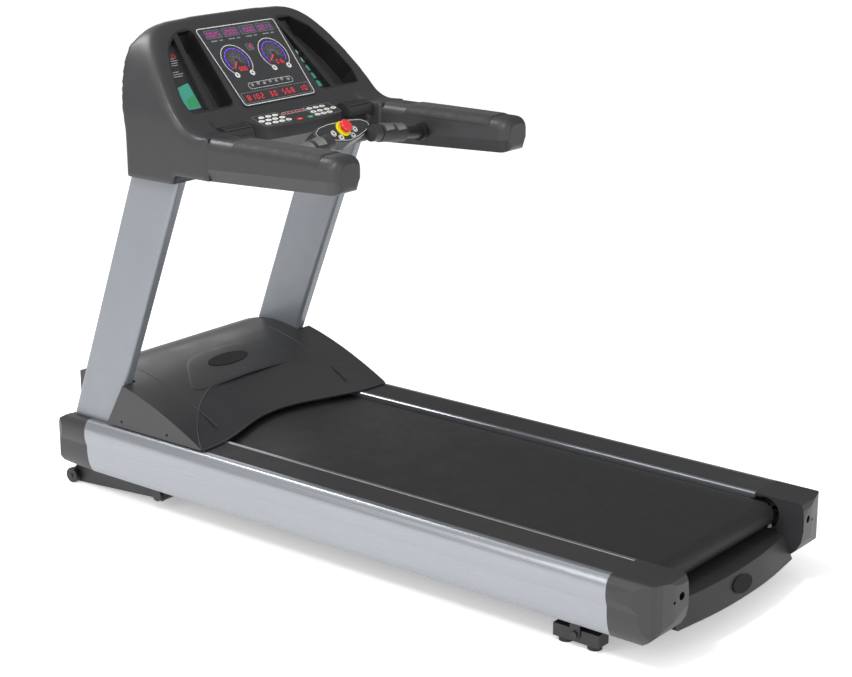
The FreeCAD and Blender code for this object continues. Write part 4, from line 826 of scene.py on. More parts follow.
# ------------------------------------------------------------------ console
@dataclass(frozen=True)
class ConsoleShell:
    """Moulded console: a sloping face with a broad round rim that runs into the shoulders."""

    face_y: float = 525.0
    face_z: float = 1234.0
    slope: float = 1.133
    shoulder_top: float = 1197.0
    shoulder_inner: float = 325.0
    shoulder_rear: float = 408.0
    blend: float = 110.0
    rim: float = 27.0
    voxel: float = 6.0
    melt: float = 75.0
    outward: tuple[float, float, float] = (0.0, -0.7498, 0.6617)
    pocket_sink: float = 60.0
    pocket_sweep: float = 90.0
    cover_half: float = 330.0
    cover_middle: float = 1206.0
    cover_reach: float = 122.0
    cover_rise: float = 2.4
    relax_steps: int = 70
    relax_levels: int = 20
    relax_everywhere: float = 0.06

    def face_line(self, z: float) -> float:
        """Y of the sloping face at one height."""
        return self.face_y + (z - self.face_z) / self.slope

    def front(self) -> np.ndarray:
        """Front outline: straight sides that close in to a round top, as (x, 0, z).

        Returns:
            The outline in millimetres.
        """
        right = np.array([(437, 1120), (437, 1200), (432, 1262), (408, 1338), (372, 1405),
                          (328, 1449), (262, 1474), (130, 1483), (0, 1485)], float)
        line_right = smooth_path(right, 6)[4:]
        left = line_right[-2::-1] * (-1, 1)
        flat = np.concatenate([[(437, 1045)], line_right, left, [(-437, 1045)]])
        return np.stack([flat[:, 0], np.full(len(flat), 300.0), flat[:, 1]], axis=-1)

    def side(self) -> np.ndarray:
        """Side outline with the shoulder blended into the face by an arc, as (x, y, z).

        Returns:
            The outline in millimetres.
        """
        tilt = math.atan(self.slope)
        corner = self.face_line(self.shoulder_top)
        start = corner - self.blend * math.tan(tilt / 2)
        turn = np.linspace(0.0, tilt, 10)
        bend = np.stack([start + self.blend * np.sin(turn),
                         self.shoulder_top + self.blend * (1 - np.cos(turn))], axis=-1)
        back = np.concatenate([smooth_path(np.array([(self.face_line(1466), 1466), (744, 1480),
                                                     (760, 1484), (778, 1471), (785, 1442)]), 4),
                               self.back_line()[1:]])
        rest = np.array([(740, 1045), (551, 1045), (543, 1073), (self.shoulder_rear, 1073),
                         (self.shoulder_rear, self.shoulder_top)])
        flat = np.concatenate([bend, back, rest])
        return np.stack([np.full(len(flat), -600.0), flat[:, 0], flat[:, 1]], axis=-1)

    def back_line(self) -> np.ndarray:
        """Bulging back from the top bend down to the straight foot, as (y, z)."""
        return smooth_path(np.array([(785, 1442), (786, 1408), (778, 1356), (764, 1298), (751, 1238),
                                     (742, 1175), (740, 1110)], float), 4)

    def back_cover(self) -> None:
        """Cover on the back: the back's own line, raised 2 mm with steeply rounded edges."""
        line_back = self.back_line()[::-1]
        u, v = np.meshgrid(np.linspace(-1.0, 1.0, 61), np.linspace(-1.0, 1.0, 61))
        z = self.cover_middle + self.cover_reach * v
        y = np.interp(z, line_back[:, 1], line_back[:, 0])
        rise = self.cover_rise * np.clip((1 - np.abs(u) ** 60) * (1 - np.abs(v) ** 40), 0.0, 1.0) ** 0.5 - 0.3
        upper = np.stack([self.cover_half * u, y + rise, z], axis=-1)
        lower = np.stack([self.cover_half * u, y - 1.5, z], axis=-1)
        ring = np.concatenate([upper, lower[:, ::-1]], axis=1)
        ends = [ring[row:row + 1 or None].mean(axis=1, keepdims=True).repeat(ring.shape[1], 1)
                for row in (0, -1)]
        cover = build("console_back_cover", [Grid(np.concatenate([ends[0], ring, ends[1]]) * MM,
                                                  ring=True, finish=Finish.HOUSING)], "frame", 50.0)
        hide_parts("console_back")

    def middle_void(self) -> np.ndarray:
        """What is cut from between the shoulders, in front of and under the face.

        Returns:
            The outline in millimetres.
        """
        tilt = math.atan(self.slope)
        corner = self.face_line(self.shoulder_top)
        top = self.shoulder_top + self.blend * math.tan(tilt / 2) * math.sin(tilt) - 0.5
        flat = np.array([(self.face_line(top), top), (self.face_line(1172), 1172), (458, 1150),
                         (560, 1045), (560, 1000), (300, 1000), (300, top)])
        return np.stack([np.full(len(flat), -self.shoulder_inner), flat[:, 0], flat[:, 1]], axis=-1)

    def pocket(self, side: int) -> np.ndarray:
        """Rounded outline of one pocket's mouth, laid under the face, as (x, y, z).

        Args:
            side: 1 for the right-hand pocket, -1 for the left.

        Returns:
            The outline in millimetres.
        """
        corners = np.array([(174, 719), (247, 718), (309, 687), (354, 625), (378, 567), (370, 532),
                            (185, 531)], float) * (side, 1)
        flat = round_corners(corners, 30.0, 6)
        height = self.face_z + self.slope * (flat[:, 1] - self.face_y)
        return np.stack([flat[:, 0], flat[:, 1] - self.pocket_sink * self.outward[1],
                         height - self.pocket_sink * self.outward[2]], axis=-1)

    def melt_rim(self, shell: bpy.types.Object) -> None:
        """Rework the form as an even mesh and relax it about the rim into a broad soft roll.

        Args:
            shell: the cut form; its mesh is replaced.
        """
        remesh = shell.modifiers.new("even", "REMESH")
        remesh.mode, remesh.voxel_size = "VOXEL", self.voxel * MM
        freeze(shell)
        points = np.empty(len(shell.data.vertices) * 3, np.float32)
        shell.data.vertices.foreach_get("co", points)
        x, y, z = np.abs(points.reshape(-1, 3) / MM).T
        outline = self.front()
        right = outline[outline[:, 0] >= 0.0]
        right = right[np.argsort(right[:, 2])]
        side_gap = np.minimum(np.interp(z, right[:, 2], right[:, 0]) - x,
                              np.interp(x, right[::-1, 0], right[::-1, 2]) - z)
        face_z = np.maximum(self.shoulder_top, self.face_z + self.slope * (y - self.face_y))
        gap = np.maximum(side_gap, (face_z - z) * 0.66)
        weight = np.clip(2.0 - 2.0 * gap / self.melt, 0.0, 1.0)
        weight = weight * np.clip((y - self.shoulder_rear - 4.0) / 40.0, 0.0, 1.0)
        weight = np.maximum(weight, self.relax_everywhere * (y > self.shoulder_rear + 8.0))
        group = shell.vertex_groups.new(name="rim")
        steps = np.round(weight * self.relax_levels).astype(int)
        for step in np.unique(steps[steps > 0]):
            group.add(np.flatnonzero(steps == step).tolist(), float(step) / self.relax_levels, "REPLACE")
        relax = shell.modifiers.new("relax", "SMOOTH")
        relax.factor, relax.iterations, relax.vertex_group = 0.5, self.relax_steps, "rim"
        freeze(shell)
        shell.vertex_groups.clear()

    def build(self) -> None:
        """Cut the form, round its rim and cut the pockets."""
        shell = prism("console_shell", self.side(), np.array((1200.0, 0.0, 0.0)))
        combine(shell, prism("front_form", self.front(), np.array((0.0, 600.0, 0.0))), "INTERSECT")
        combine(shell, prism("void", self.middle_void(),
                             np.array((2 * self.shoulder_inner, 0.0, 0.0))), "DIFFERENCE")
        middles, angles = edge_facts(shell.data)
        sharp = angles > 28.0
        x, y, z = np.abs(middles[:, 0]), middles[:, 1], middles[:, 2]
        face_z = np.maximum(self.shoulder_top, self.face_z + self.slope * (y - self.face_y))
        on_rim = (sharp & (x > self.shoulder_inner + 5) & (np.abs(z - face_z) < 12)
                  & (y > self.shoulder_rear + 2))
        top_rim = sharp & (z > 1430)
        widths = np.where(on_rim, self.rim, np.where(top_rim, 6.0, np.where(sharp, 3.0, 0.0)))
        inner = sharp & (np.abs(x - self.shoulder_inner) < 1) & (z > self.shoulder_top - 5) & (y < 470)
        widths[inner] = 27.0
        widths[sharp & (y < self.shoulder_rear + 1)] = 0.0
        widths[sharp & (y > 736) & (z < 1425) & (z > 1060) & (x > 330)] = 9.0
        round_edges(shell, widths, 8)
        self.melt_rim(shell)
        for side in (-1, 1):
            combine(shell, prism("mouth", self.pocket(side),
                                 np.array(self.outward) * self.pocket_sweep), "DIFFERENCE")
        finish_block(shell, Finish.HOUSING, "frame", 32.0)
        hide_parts("console_housing")
        self.back_cover()


def finish_block(piece: bpy.types.Object, finish: Finish, body: str, sharp_degrees: float) -> None:
    """Dress a cut block, smooth its shading and put it on its body.

    Args:
        piece: the cut block.
        finish: what covers it.
        body: the CAD body it rides on.
        sharp_degrees: faces that meet at more than this keep a crisp edge.
    """
    piece.data.materials.clear()
    piece.data.materials.append(finish.material())
    piece.data.shade_smooth()
    piece.data.set_sharp_from_angle(angle=math.radians(sharp_degrees))
    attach(piece, body)
    LOG.info("%s: %d faces on %s", piece.name, len(piece.data.polygons), body)


FACE = Plane((0.0, 0.525, 1.234), (0.0, 0.66174, 0.74974), (0.0, -0.74974, 0.66174))
POD = Plane((0.0, 0.2595, 1.150), (0.0, 0.66174, 0.74974), (0.0, -0.74974, 0.66174))
RISE = 1.5112                               # millimetres up the face for each millimetre of Y


@dataclass(frozen=True)
class Display:
    """Printed and lit parts of the instrument panel, on its smoked film."""

    film: float = 3.0
    ink: float = 3.25
    lamp: float = 3.5

    def outline(self, name: str, corners: np.ndarray, radius: float, width: float) -> list[Grid]:
        """White printed outline with rounded corners."""
        return [line(FACE, round_corners(corners, radius), width, self.film, self.ink,
                     Finish[name])]

    def window(self, x: float, up: float, width: float, height: float, number: str,
               lamp: Finish) -> list[Grid]:
        """Small window with lit numerals and a grey frame.

        Args:
            x: middle, across.
            up: middle, up the face.
            width: width of the window.
            height: height of the window.
            number: its numerals.
            lamp: what lights them.

        Returns:
            The surfaces.
        """
        box = np.array([(-0.5, -0.5), (0.5, -0.5), (0.5, 0.5), (-0.5, 0.5)]) * (width, height)
        edge = round_corners(box + (x, up), 3.0, 4)
        size = height * 0.3
        return [plate(FACE, edge, self.film - 0.5, self.ink, Finish.WINDOW),
                line(FACE, edge, 0.8, self.film, self.ink + 0.1, Finish.GREY_INK),
                *digits(FACE, number, x, up - size, size, self.ink - 0.1, self.lamp, lamp)]

    def dial(self, x: float, up: float, number: str, needle_degrees: float) -> list[Grid]:
        """Round gauge: dark window, printed rays, lit arc, ticks, needle, numerals and outline.

        Args:
            x: middle, across.
            up: middle, up the face.
            number: its numerals.
            needle_degrees: where the needle points, counted from the right.

        Returns:
            The surfaces.
        """
        window = arc(x, up, 46.0, 0.0, 360.0, 49)[:-1]
        grids = [plate(FACE, window, self.film - 0.5, self.ink - 0.1, Finish.DIAL)]
        rays = np.radians(np.linspace(-38.0, 218.0, 33))
        for turn in rays:
            ray = np.array([(x + r * math.cos(turn + 0.25 * r / 40), up + r * math.sin(turn + 0.25 * r / 40))
                            for r in (9.0, 20.0, 30.0, 38.0)])
            grids.append(line(FACE, ray, 0.45, self.film, self.ink, Finish.GREY_INK, closed=False))
        grids.append(line(FACE, arc(x, up, 43.0, -38.0, 218.0, 60), 2.8, self.film, self.lamp,
                          Finish.BLUE_LAMP, closed=False))
        for turn in np.radians(np.linspace(-36.0, 216.0, 13)):
            spot = ellipse(x + 43.0 * math.cos(turn), up + 43.0 * math.sin(turn), 4.0, 4.0, 8)
            grids.append(plate(FACE, spot, self.film, self.lamp + 0.2, Finish.PINK_LAMP))
        turn = math.radians(needle_degrees)
        needle = np.array([(x + r * math.cos(turn), up + r * math.sin(turn)) for r in (6.0, 28.0, 36.0)])
        grids.append(line(FACE, needle, 2.2, self.film, self.lamp, Finish.RED_LAMP, closed=False))
        grids += digits(FACE, number, x + 5.0, up - 37.0, 7.2, self.ink - 0.1, self.lamp,
                        Finish.RED_LAMP)
        grids.append(line(FACE, arc(x, up, 56.0, -55.0, 235.0, 70), 2.2, self.film, self.ink,
                          Finish.WHITE_INK, closed=False))
        for side in (-1, 1):
            spot = (x + side * 32.0, up - 49.0)
            grids.append(plate(FACE, ellipse(*spot, 19.0, 19.0), self.film, self.ink, Finish.WHITE_INK))
            grids.append(plate(FACE, ellipse(*spot, 6.4, 6.4), self.film, self.ink + 0.1, Finish.PANEL))
        return grids

    def profiles(self) -> list[Grid]:
        """Row of workout profile marks on a line, inside a long oval outline.

        Returns:
            The surfaces.
        """
        box = np.array([(-95.0, 55.0), (95.0, 55.0), (95.0, 76.0), (-95.0, 76.0)])
        grids = [line(FACE, round_corners(box, 10.0), 1.1, self.film, self.ink, Finish.WHITE_INK)]
        for place in range(7):
            x = -78.0 + 26.0 * place
            grids.append(line(FACE, ellipse(x, 68.0 + 3.0 * (place % 2), 9.0, 9.0, 16), 0.9, self.film,
                              self.ink, Finish.WHITE_INK))
            grids.append(plate(FACE, ellipse(x, 68.0 + 3.0 * (place % 2), 3.0, 3.0, 10), self.film,
                               self.ink, Finish.WHITE_INK))
        return grids

    def message(self) -> list[Grid]:
        """Long window with lit numerals between dim cells.

        Returns:
            The surfaces.
        """
        box = np.array([(-143.0, 13.0), (143.0, 13.0), (143.0, 43.0), (-143.0, 43.0)])
        grids = [plate(FACE, round_corners(box, 4.0, 4), self.film - 0.5, self.ink - 0.1, Finish.DIAL),
                 line(FACE, round_corners(box + np.sign(box - (0, 28)) * 3.0, 5.0, 4), 1.0, self.film,
                      self.ink, Finish.GREY_INK)]
        for place, numeral in enumerate("8102 30 568 10"):
            x = -122.0 + 19.0 * place
            if numeral != " ":
                grids += digits(FACE, numeral, x, 19.0, 9.0, self.ink - 0.1, self.lamp, Finish.RED_LAMP)
        return grids

    def build(self) -> None:
        """Lay everything on the panel."""
        frame_line = np.array([(-153.0, 4.0), (153.0, 4.0), (168.0, 282.0), (-168.0, 282.0)])
        grids = [line(FACE, round_corners(frame_line, 12.0), 2.6, self.film, self.ink, Finish.WHITE_INK)]
        for place, number in enumerate(("0025", "2000", "1500", "0011")):
            x = -111.0 + 74.0 * place
            grids += self.window(x, 258.0, 64.0, 29.0, number, Finish.PINK_LAMP)
            for part, width in ((-10.0, 26.0), (19.0, 14.0)):
                bar = np.array([(-0.5, -1.5), (0.5, -1.5), (0.5, 1.5), (-0.5, 1.5)]) * (width, 1.2)
                grids.append(plate(FACE, bar + (x + part, 234.0), self.film, self.ink, Finish.GREY_INK))
        grids += self.window(4.0, 197.0, 27.0, 22.0, "15", Finish.RED_LAMP)
        grids += self.dial(-80.0, 158.0, "000", 225.0)
        grids += self.dial(84.0, 162.0, "016", 218.0)
        grids += self.profiles() + self.message()
        printing = build("display_print", grids, "frame", 25.0)


@dataclass(frozen=True)
class ArmPads:
    """Soft grained pads over the arms' tops, crowned and tucked in all round."""

    inner: float = 325.0
    outer: float = 438.0
    top: float = 1197.0
    corner: float = 34.0
    overhang: float = 1.0
    crown: float = 3.6
    swell: float = 0.5
    sink: float = 0.6

    def over_arm(self, across: np.ndarray) -> tuple[np.ndarray, np.ndarray, np.ndarray, np.ndarray]:
        """Arm's skin from its inner side over the top to its outer side.

        Args:
            across: 0 at the inner foot to 1 at the outer foot, by distance along the skin.

        Returns:
            X and Z of the skin, and X and Z of its outward direction.
        """
        turn = np.radians(np.linspace(180.0, 90.0, 16))
        left = np.stack([self.inner + self.corner + self.corner * np.cos(turn),
                         self.top - self.corner + self.corner * np.sin(turn)], axis=-1)
        path = np.concatenate([left, left[::-1] * (-1, 1) + (self.inner + self.outer, 0)])
        run = np.concatenate([[0.0], np.cumsum(np.hypot(*np.diff(path, axis=0).T))])
        x = np.interp(across, run / run[-1], path[:, 0])
        z = np.interp(across, run / run[-1], path[:, 1])
        slope_x, slope_z = np.gradient(x), np.gradient(z)
        size = np.maximum(np.hypot(slope_x, slope_z), 1e-9)
        return x, z, -slope_z / size, slope_x / size

    def build(self) -> None:
        """Raise each pad: height = a flat-topped dome that falls away steeply at its edges."""
        low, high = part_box("arm_pads")
        rear, front = low.y / MM - self.overhang, high.y / MM + self.overhang
        for side, name in ((1, "right"), (-1, "left")):
            across = np.linspace(0.035, 0.965, 44)
            x, z, out_x, out_z = self.over_arm(across)
            along = np.linspace(0.0, 1.0, 130)
            u, v = np.meshgrid(np.linspace(-1, 1, 44), np.linspace(-1, 1, 130))
            dome = np.clip((1 - np.abs(u) ** 10) * (1 - np.abs(v) ** 34), 0.0, 1.0) ** 0.5
            height = self.crown * dome + self.swell * (1 - u ** 2) * (1 - v ** 2) - self.sink
            y = rear + (front - rear) * along[:, None] * np.ones_like(u)
            upper = np.stack([side * (x[None] + out_x[None] * height), y,
                              z[None] + out_z[None] * height], axis=-1) * MM
            lower = np.stack(np.broadcast_arrays(side * (x - out_x * self.sink), y,
                                                 z - out_z * self.sink), axis=-1) * MM
            shell = np.concatenate([upper, lower[:, ::-1]], axis=1)
            caps = [shell[:1].mean(axis=1, keepdims=True).repeat(shell.shape[1], 1),
                    shell[-1:].mean(axis=1, keepdims=True).repeat(shell.shape[1], 1)]
            closed = Grid(np.concatenate([caps[0], shell, caps[1]]), ring=True, finish=Finish.PAD)
            pad = build(f"arm_pad_{name}", [closed], "frame", 60.0)
            if side > 0:
                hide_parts("arm_pads")


@dataclass(frozen=True)
class HoodTrim:
    """Raised parts of the hood: oval centre panel, seam beads and the visor's rolled lip."""

    rear: float = 476.0
    ridge: float = 930.0
    ridge_z: float = 402.0
    rise: float = 152.0
    power: float = 1.63
    foot: float = 250.0
    half: float = 422.0
    seam: float = 299.0

    def height(self, y: np.ndarray) -> np.ndarray:
        """Height of the hood's skin: the ridge less a power of the distance behind it."""
        run = np.clip((self.ridge - y) / (self.ridge - self.rear), 0.0, 1.2)
        return self.ridge_z - self.rise * run ** self.power

    def panel(self) -> Grid:
        """Centre panel: rings from its middle to its outline, then down its rounded edge.

        Returns:
            The closed surface.
        """
        right = np.array([(0, 690), (120, 686), (207, 683), (238, 694), (230, 718), (192, 766),
                          (155, 808), (118, 836), (64, 850), (0, 853)], float)
        line_right = smooth_path(right, 6)
        outline = np.concatenate([line_right, line_right[-2:0:-1] * (-1, 1)])
        middle = np.array([0.0, 770.0])
        scales = np.array([0.0, 0.25, 0.5, 0.75, 0.92, 0.975, 0.992, 1.0, 1.0, 0.97, 0.0])
        lift = np.array([1.9, 1.9, 1.9, 1.9, 1.9, 1.8, 1.4, 0.8, -1.0, -1.0, -1.0])
        flat = middle + (outline - middle)[None] * scales[:, None, None]
        z = self.height(flat[..., 1]) + lift[:, None]
        return Grid(np.concatenate([flat, z[..., None]], axis=-1) * MM, ring=True,
                    finish=Finish.COVER)

    def bead(self, path: np.ndarray, radius: float) -> Grid:
        """Round bead: a circle carried along a path, closed at both ends.

        Args:
            path: points in millimetres.
            radius: radius of the bead in millimetres.

        Returns:
            The closed surface.
        """
        turn = np.linspace(0.0, 2.0 * math.pi, 11)[:-1]
        heading = np.gradient(path, axis=0)
        heading = heading / np.linalg.norm(heading, axis=1)[:, None]
        side = np.cross(heading, (0.0, 0.0, 1.0))
        side = side / np.linalg.norm(side, axis=1)[:, None]
        lift = np.cross(side, heading)
        ring = path[:, None] + radius * (side[:, None] * np.cos(turn)[None, :, None]
                                         + lift[:, None] * np.sin(turn)[None, :, None])
        ends = [path[:1, None].repeat(turn.size, 1), path[-1:, None].repeat(turn.size, 1)]
        return Grid(np.concatenate([ends[0], ring, ends[1]]) * MM, ring=True, finish=Finish.COVER)

    def build(self) -> None:
        """Lay the panel, the two seam beads, the visor's upper bead and its lower lip."""
        y = np.linspace(535.0, 872.0, 60)
        seams = [np.stack([np.full(y.size, side * self.seam), y, self.height(y) - 0.8], axis=-1)
                 for side in (-1, 1)]
        angle = np.radians(85.0) * np.sin(np.linspace(-math.pi / 2, math.pi / 2, 91))
        across = self.half * np.sin(angle)
        upper_y = self.rear + 4.0 + 240.0 * np.cos(angle) ** 1.64
        lower_y = self.rear + 2.0 + 92.0 * np.cos(angle) ** 5.5
        upper = np.stack([across, upper_y, self.height(upper_y) - 0.6], axis=-1)
        lower = np.stack([across, lower_y + 1.5, np.full(across.size, self.foot + 1.4)], axis=-1)
        grids = [self.panel(), *(self.bead(seam, 2.2) for seam in seams),
                 self.bead(upper, 2.4), self.bead(lower, 3.2)]
        trim = build("hood_trim", grids, "frame", 40.0)


@dataclass(frozen=True)
class PocketLabels:
    """Generic printed labels on the pockets' floors: instruction bars and colour patches."""

    floor: float = -15.9
    ink: float = -15.6
    mark: float = -15.3

    def patch(self, corners: list[tuple[float, float]], height: float, finish: Finish) -> Grid:
        """Flat patch from (x, y) corners on the machine, raised to one height."""
        flat = np.array(corners, float)
        flat = np.stack([flat[:, 0], (flat[:, 1] - 525.0) * RISE], axis=-1)
        return plate(FACE, round_corners(flat, 4.0, 4), self.floor - 0.1, height, finish)

    def bars(self, x: float, y: float, rows: int, width: float) -> list[Grid]:
        """Rows of grey bars that stand for lines of small print.

        Args:
            x: left end, across.
            y: Y of the first row.
            rows: how many rows.
            width: length of the longest row.

        Returns:
            The surfaces.
        """
        grids = []
        for row in range(rows):
            low = y - 5.0 * row
            size = width * (0.72 + 0.28 * ((row * 5) % 3) / 2)
            grids.append(self.patch([(x, low), (x + size, low), (x + size, low + 1.8),
                                     (x, low + 1.8)], self.mark, Finish.GREY_INK))
        return grids

    def build(self) -> None:
        """Lay the two labels."""
        left = [(-270, 694), (-304, 676), (-346, 619), (-367, 566), (-360, 541), (-299, 541),
                (-282, 640)]
        grids = [self.patch(left, self.ink, Finish.DARK_INK)]
        grids += self.bars(-318.0, 662.0, 4, 34.0) + self.bars(-338.0, 632.0, 3, 46.0)
        grids.append(self.patch([(-352, 598), (-296, 606), (-301, 548), (-356, 548)], self.ink + 0.1,
                                Finish.TEAL_INK))
        grids.append(self.patch([(-340, 570), (-303, 578), (-304, 552), (-344, 552)], self.mark,
                                Finish.GREEN_INK))
        grids.append(line(FACE, ellipse(-290.0, (668.0 - 525.0) * RISE, 13.0, 13.0, 20), 2.4,
                          self.floor, self.mark, Finish.RED_INK))
        right = [(183, 690), (194, 541), (235, 541), (218, 590), (196, 652)]
        grids.append(self.patch(right, self.ink, Finish.DARK_INK))
        for row in range(5):
            low = 546.0 + 20.0 * row
            grids.append(self.patch([(197, low), (224 - 4 * row, low), (221 - 4 * row, low + 14),
                                     (197, low + 14)], self.ink + 0.1, Finish.TEAL_INK))
            grids.append(self.patch([(200, low + 3), (206, low + 3), (206, low + 11), (200, low + 11)],
                                    self.mark, Finish.WHITE_INK))
        labels = build("pocket_labels", grids, "frame", 25.0)


@dataclass(frozen=True)
class KeyPrints:
    """Printing on the keypad shelf and the pod, and the dark centres of the pod's keys."""

    slope: float = 0.31

    def shelf(self) -> Plane:
        """The keypad's sloping top."""
        size = math.hypot(1.0, self.slope)
        return Plane((0.0, 0.497, 1.207), (0.0, 1 / size, self.slope / size),
                     (0.0, -self.slope / size, 1 / size))

    def keypad(self) -> list[Grid]:
        """Numerals and dashes on the keys, two coloured keys and the status row.

        Returns:
            The surfaces.
        """
        shelf, stretch = self.shelf(), math.hypot(1.0, self.slope)
        left = [(-129, 487), (-99, 487), (-70, 487), (-148, 468), (-118, 468), (-90, 468),
                (-59, 468), (-139, 450), (-107, 450), (-79, 450)]
        grids = []
        for place, (x, y) in enumerate(left):
            grids += digits(shelf, str((place + 1) % 10), x, (y - 497.0) * stretch - 2.6, 2.6, 1.3,
                            1.75, Finish.DARK_INK)
        right = [(80, 485), (109, 485), (137, 485), (75, 464), (104, 464), (135, 464), (165, 464),
                 (74, 446), (101, 446), (128, 446), (-50, 450)]
        for x, y in right:
            grids.append(plate(shelf, ellipse(x, (y - 497.0) * stretch, 10.0, 2.4, 12), 1.3, 1.75,
                               Finish.DARK_INK))
        for x, finish in ((-11, Finish.RED_INK), (36, Finish.GREEN_INK)):
            up = (441.0 - 497.0) * stretch
            grids.append(plate(shelf, ellipse(x, up, 24.5, 14.5), 0.1, 1.9, finish, 0.5))
            grids.append(plate(shelf, ellipse(x, up, 9.0, 3.0, 12), 1.8, 2.1, Finish.WHITE_INK))
        up = (486.0 - 497.0) * stretch
        box = np.array([(-40.0, up - 6), (64.0, up - 6), (64.0, up + 6), (-40.0, up + 6)])
        grids.append(line(shelf, round_corners(box, 6.0), 1.1, -0.1, 0.4, Finish.WHITE_INK))
        grids += [plate(shelf, ellipse(-28.0 + 16.0 * place, up, 5.0, 5.0, 14), -0.1, 0.4,
                        Finish.RED_LAMP) for place in range(6)]
        for middle, half, top in ((-104.0, 56.0, 501.0), (119.0, 58.0, 499.0)):
            up0, up1 = (438.0 - 497.0) * stretch, (top - 497.0) * stretch
            frame_line = np.array([(middle - half, up0), (middle + half, up0),
                                   (middle + half, up1), (middle - half, up1)])
            grids.append(line(shelf, round_corners(frame_line, 9.0), 0.9, -0.1, 0.35,
                              Finish.GREY_INK))
        return grids

    def pod(self) -> list[Grid]:
        """White outline round the pod's face and a ring round each key.

        Returns:
            The surfaces.
        """
        right = np.array([(54, 5), (96, 18), (115, 29), (115, 41), (93, 53), (48, 59)], float)
        outline = np.concatenate([[(0.0, -5.0)], right, right[::-1] * (-1, 1)])
        grids = [line(POD, round_corners(outline, 6.0), 1.4, -0.1, 0.35, Finish.WHITE_INK)]
        grids += [line(POD, ellipse(side * x, up, 19.0, 19.0, 28), 1.6, -0.1, 0.35, Finish.WHITE_INK)
                  for side in (-1, 1) for x, up in ((47.0, 27.0), (26.0, 9.0))]
        return grids

    def build(self) -> None:
        """Lay the printing on the console and a dark dot on each moving key."""
        printing = build("key_printing", self.keypad() + self.pod(), "frame", 25.0)
        for body in ("speed_down", "speed_up", "incline_down", "incline_up"):
            low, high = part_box(f"key_{body}")
            x = (low.x + high.x) / 2 / MM
            offset = ((low.y + high.y) / 2 - POD.origin[1]) * POD.up[1] \
                + ((low.z + high.z) / 2 - POD.origin[2]) * POD.up[2]
            dot = plate(POD, ellipse(x, offset / MM, 7.5, 7.5, 20), 1.2, 1.9, Finish.DARK_INK)
            mark = build(f"key_mark_{body}", [dot], body, 25.0)


# ------------------------------------------------------------------ studio
@dataclass(frozen=True)
class Studio:
    """Pale floor, soft lamps and the camera."""

    eye: tuple[float, float, float] = (-4.308, -3.463, 2.229)
    turn_degrees: tuple[float, float, float] = (73.47, 0.0, -51.44)
    lens_mm: float = 83.22
    sensor_mm: float = 36.0
    bright_side: tuple[float, float, float] = (-0.80, -0.45, 0.40)

    def build(self) -> None:
        """Make the floor, the lamps, the surrounding light and the camera."""
        self.floor()
        self.lamps()
        self.camera()

    def floor(self) -> None:
        """A wide plain floor that fades into the white surroundings."""
        recipe = Recipe("paper_sweep_white", "FBFBFB")
        recipe.mottle(Patches(400.0), 0.99, 0.8)
        recipe.polish(Patches(60.0), 0.75, 0.85)
        recipe.shader.inputs["Emission Color"].default_value = linear("FFFFFF")
        recipe.skin(Emission_Strength=0.38)
        grid = np.stack(np.meshgrid(np.linspace(-14, 14, 3), np.linspace(-14, 14, 3),
                                    indexing="ij") + [np.zeros((3, 3))], axis=-1)
        mesh = bpy.data.meshes.new("floor")
        mesh.from_pydata(grid.reshape(-1, 3).tolist(), [], Grid(grid).quads()[:, ::-1].tolist())
        mesh.materials.append(recipe.material)
        floor = bpy.data.objects.new("floor", mesh)
        bpy.context.scene.collection.objects.link(floor)

    def lamps(self) -> None:
        """Soft lamps, and a surrounding that is brighter on one side but looks white."""
        scene = bpy.context.scene
        world = bpy.data.worlds.new("studio")
        world.use_nodes = True
        sky = world.node_tree
        heading = add_node(sky, "ShaderNodeVectorMath",
                           {0: add_node(sky, "ShaderNodeTexCoord").outputs["Generated"],
                            1: self.bright_side}, operation="DOT_PRODUCT")
        lift = add_node(sky, "ShaderNodeMapRange", {"Value": heading.outputs["Value"],
                                                    "From Min": -0.7, "From Max": 0.9,
                                                    "To Min": 0.16, "To Max": 1.05})
        seen = add_node(sky, "ShaderNodeMix", {"Factor": add_node(sky, "ShaderNodeLightPath").outputs[0],
                                               2: lift.outputs[0], 3: 1.0})
        sky.nodes["Background"].inputs[0].default_value = (1.0, 1.0, 1.0, 1.0)
        sky.links.new(seen.outputs[0], sky.nodes["Background"].inputs[1])
        scene.world = world
        scene.view_settings.view_transform = "Standard"
        for name, place, size, power in (("key", (-2.6, -0.5, 3.9), 1.1, 62.0),
                                         ("left", (-4.5, 1.0, 2.6), 2.2, 40.0),
                                         ("top", (-0.7, 2.9, 3.7), 1.2, 50.0),
                                         ("back", (2.4, 4.0, 2.6), 2.4, 20.0),
                                         ("rear", (-0.5, -5.0, 2.4), 2.0, 30.0)):
            light = bpy.data.lights.new(name, "AREA")
            light.shape, light.size, light.energy = "DISK", size, power
            lamp = bpy.data.objects.new(name, light)
            lamp.location = place
            lamp.rotation_euler = (Vector((0.0, 0.0, 0.6)) - Vector(place)).to_track_quat(
                "-Z", "Y").to_euler()
            scene.collection.objects.link(lamp)

    def camera(self) -> None:
        """The camera, level, without shift or depth of field."""
        data = bpy.data.cameras.new("camera")
        data.lens, data.sensor_width = self.lens_mm, self.sensor_mm
        data.clip_start, data.clip_end = 0.1, 60.0
        camera = bpy.data.objects.new("camera", data)
        camera.location = self.eye
        camera.rotation_euler = Euler([math.radians(t) for t in self.turn_degrees])
        bpy.context.scene.collection.objects.link(camera)
        bpy.context.scene.camera = camera


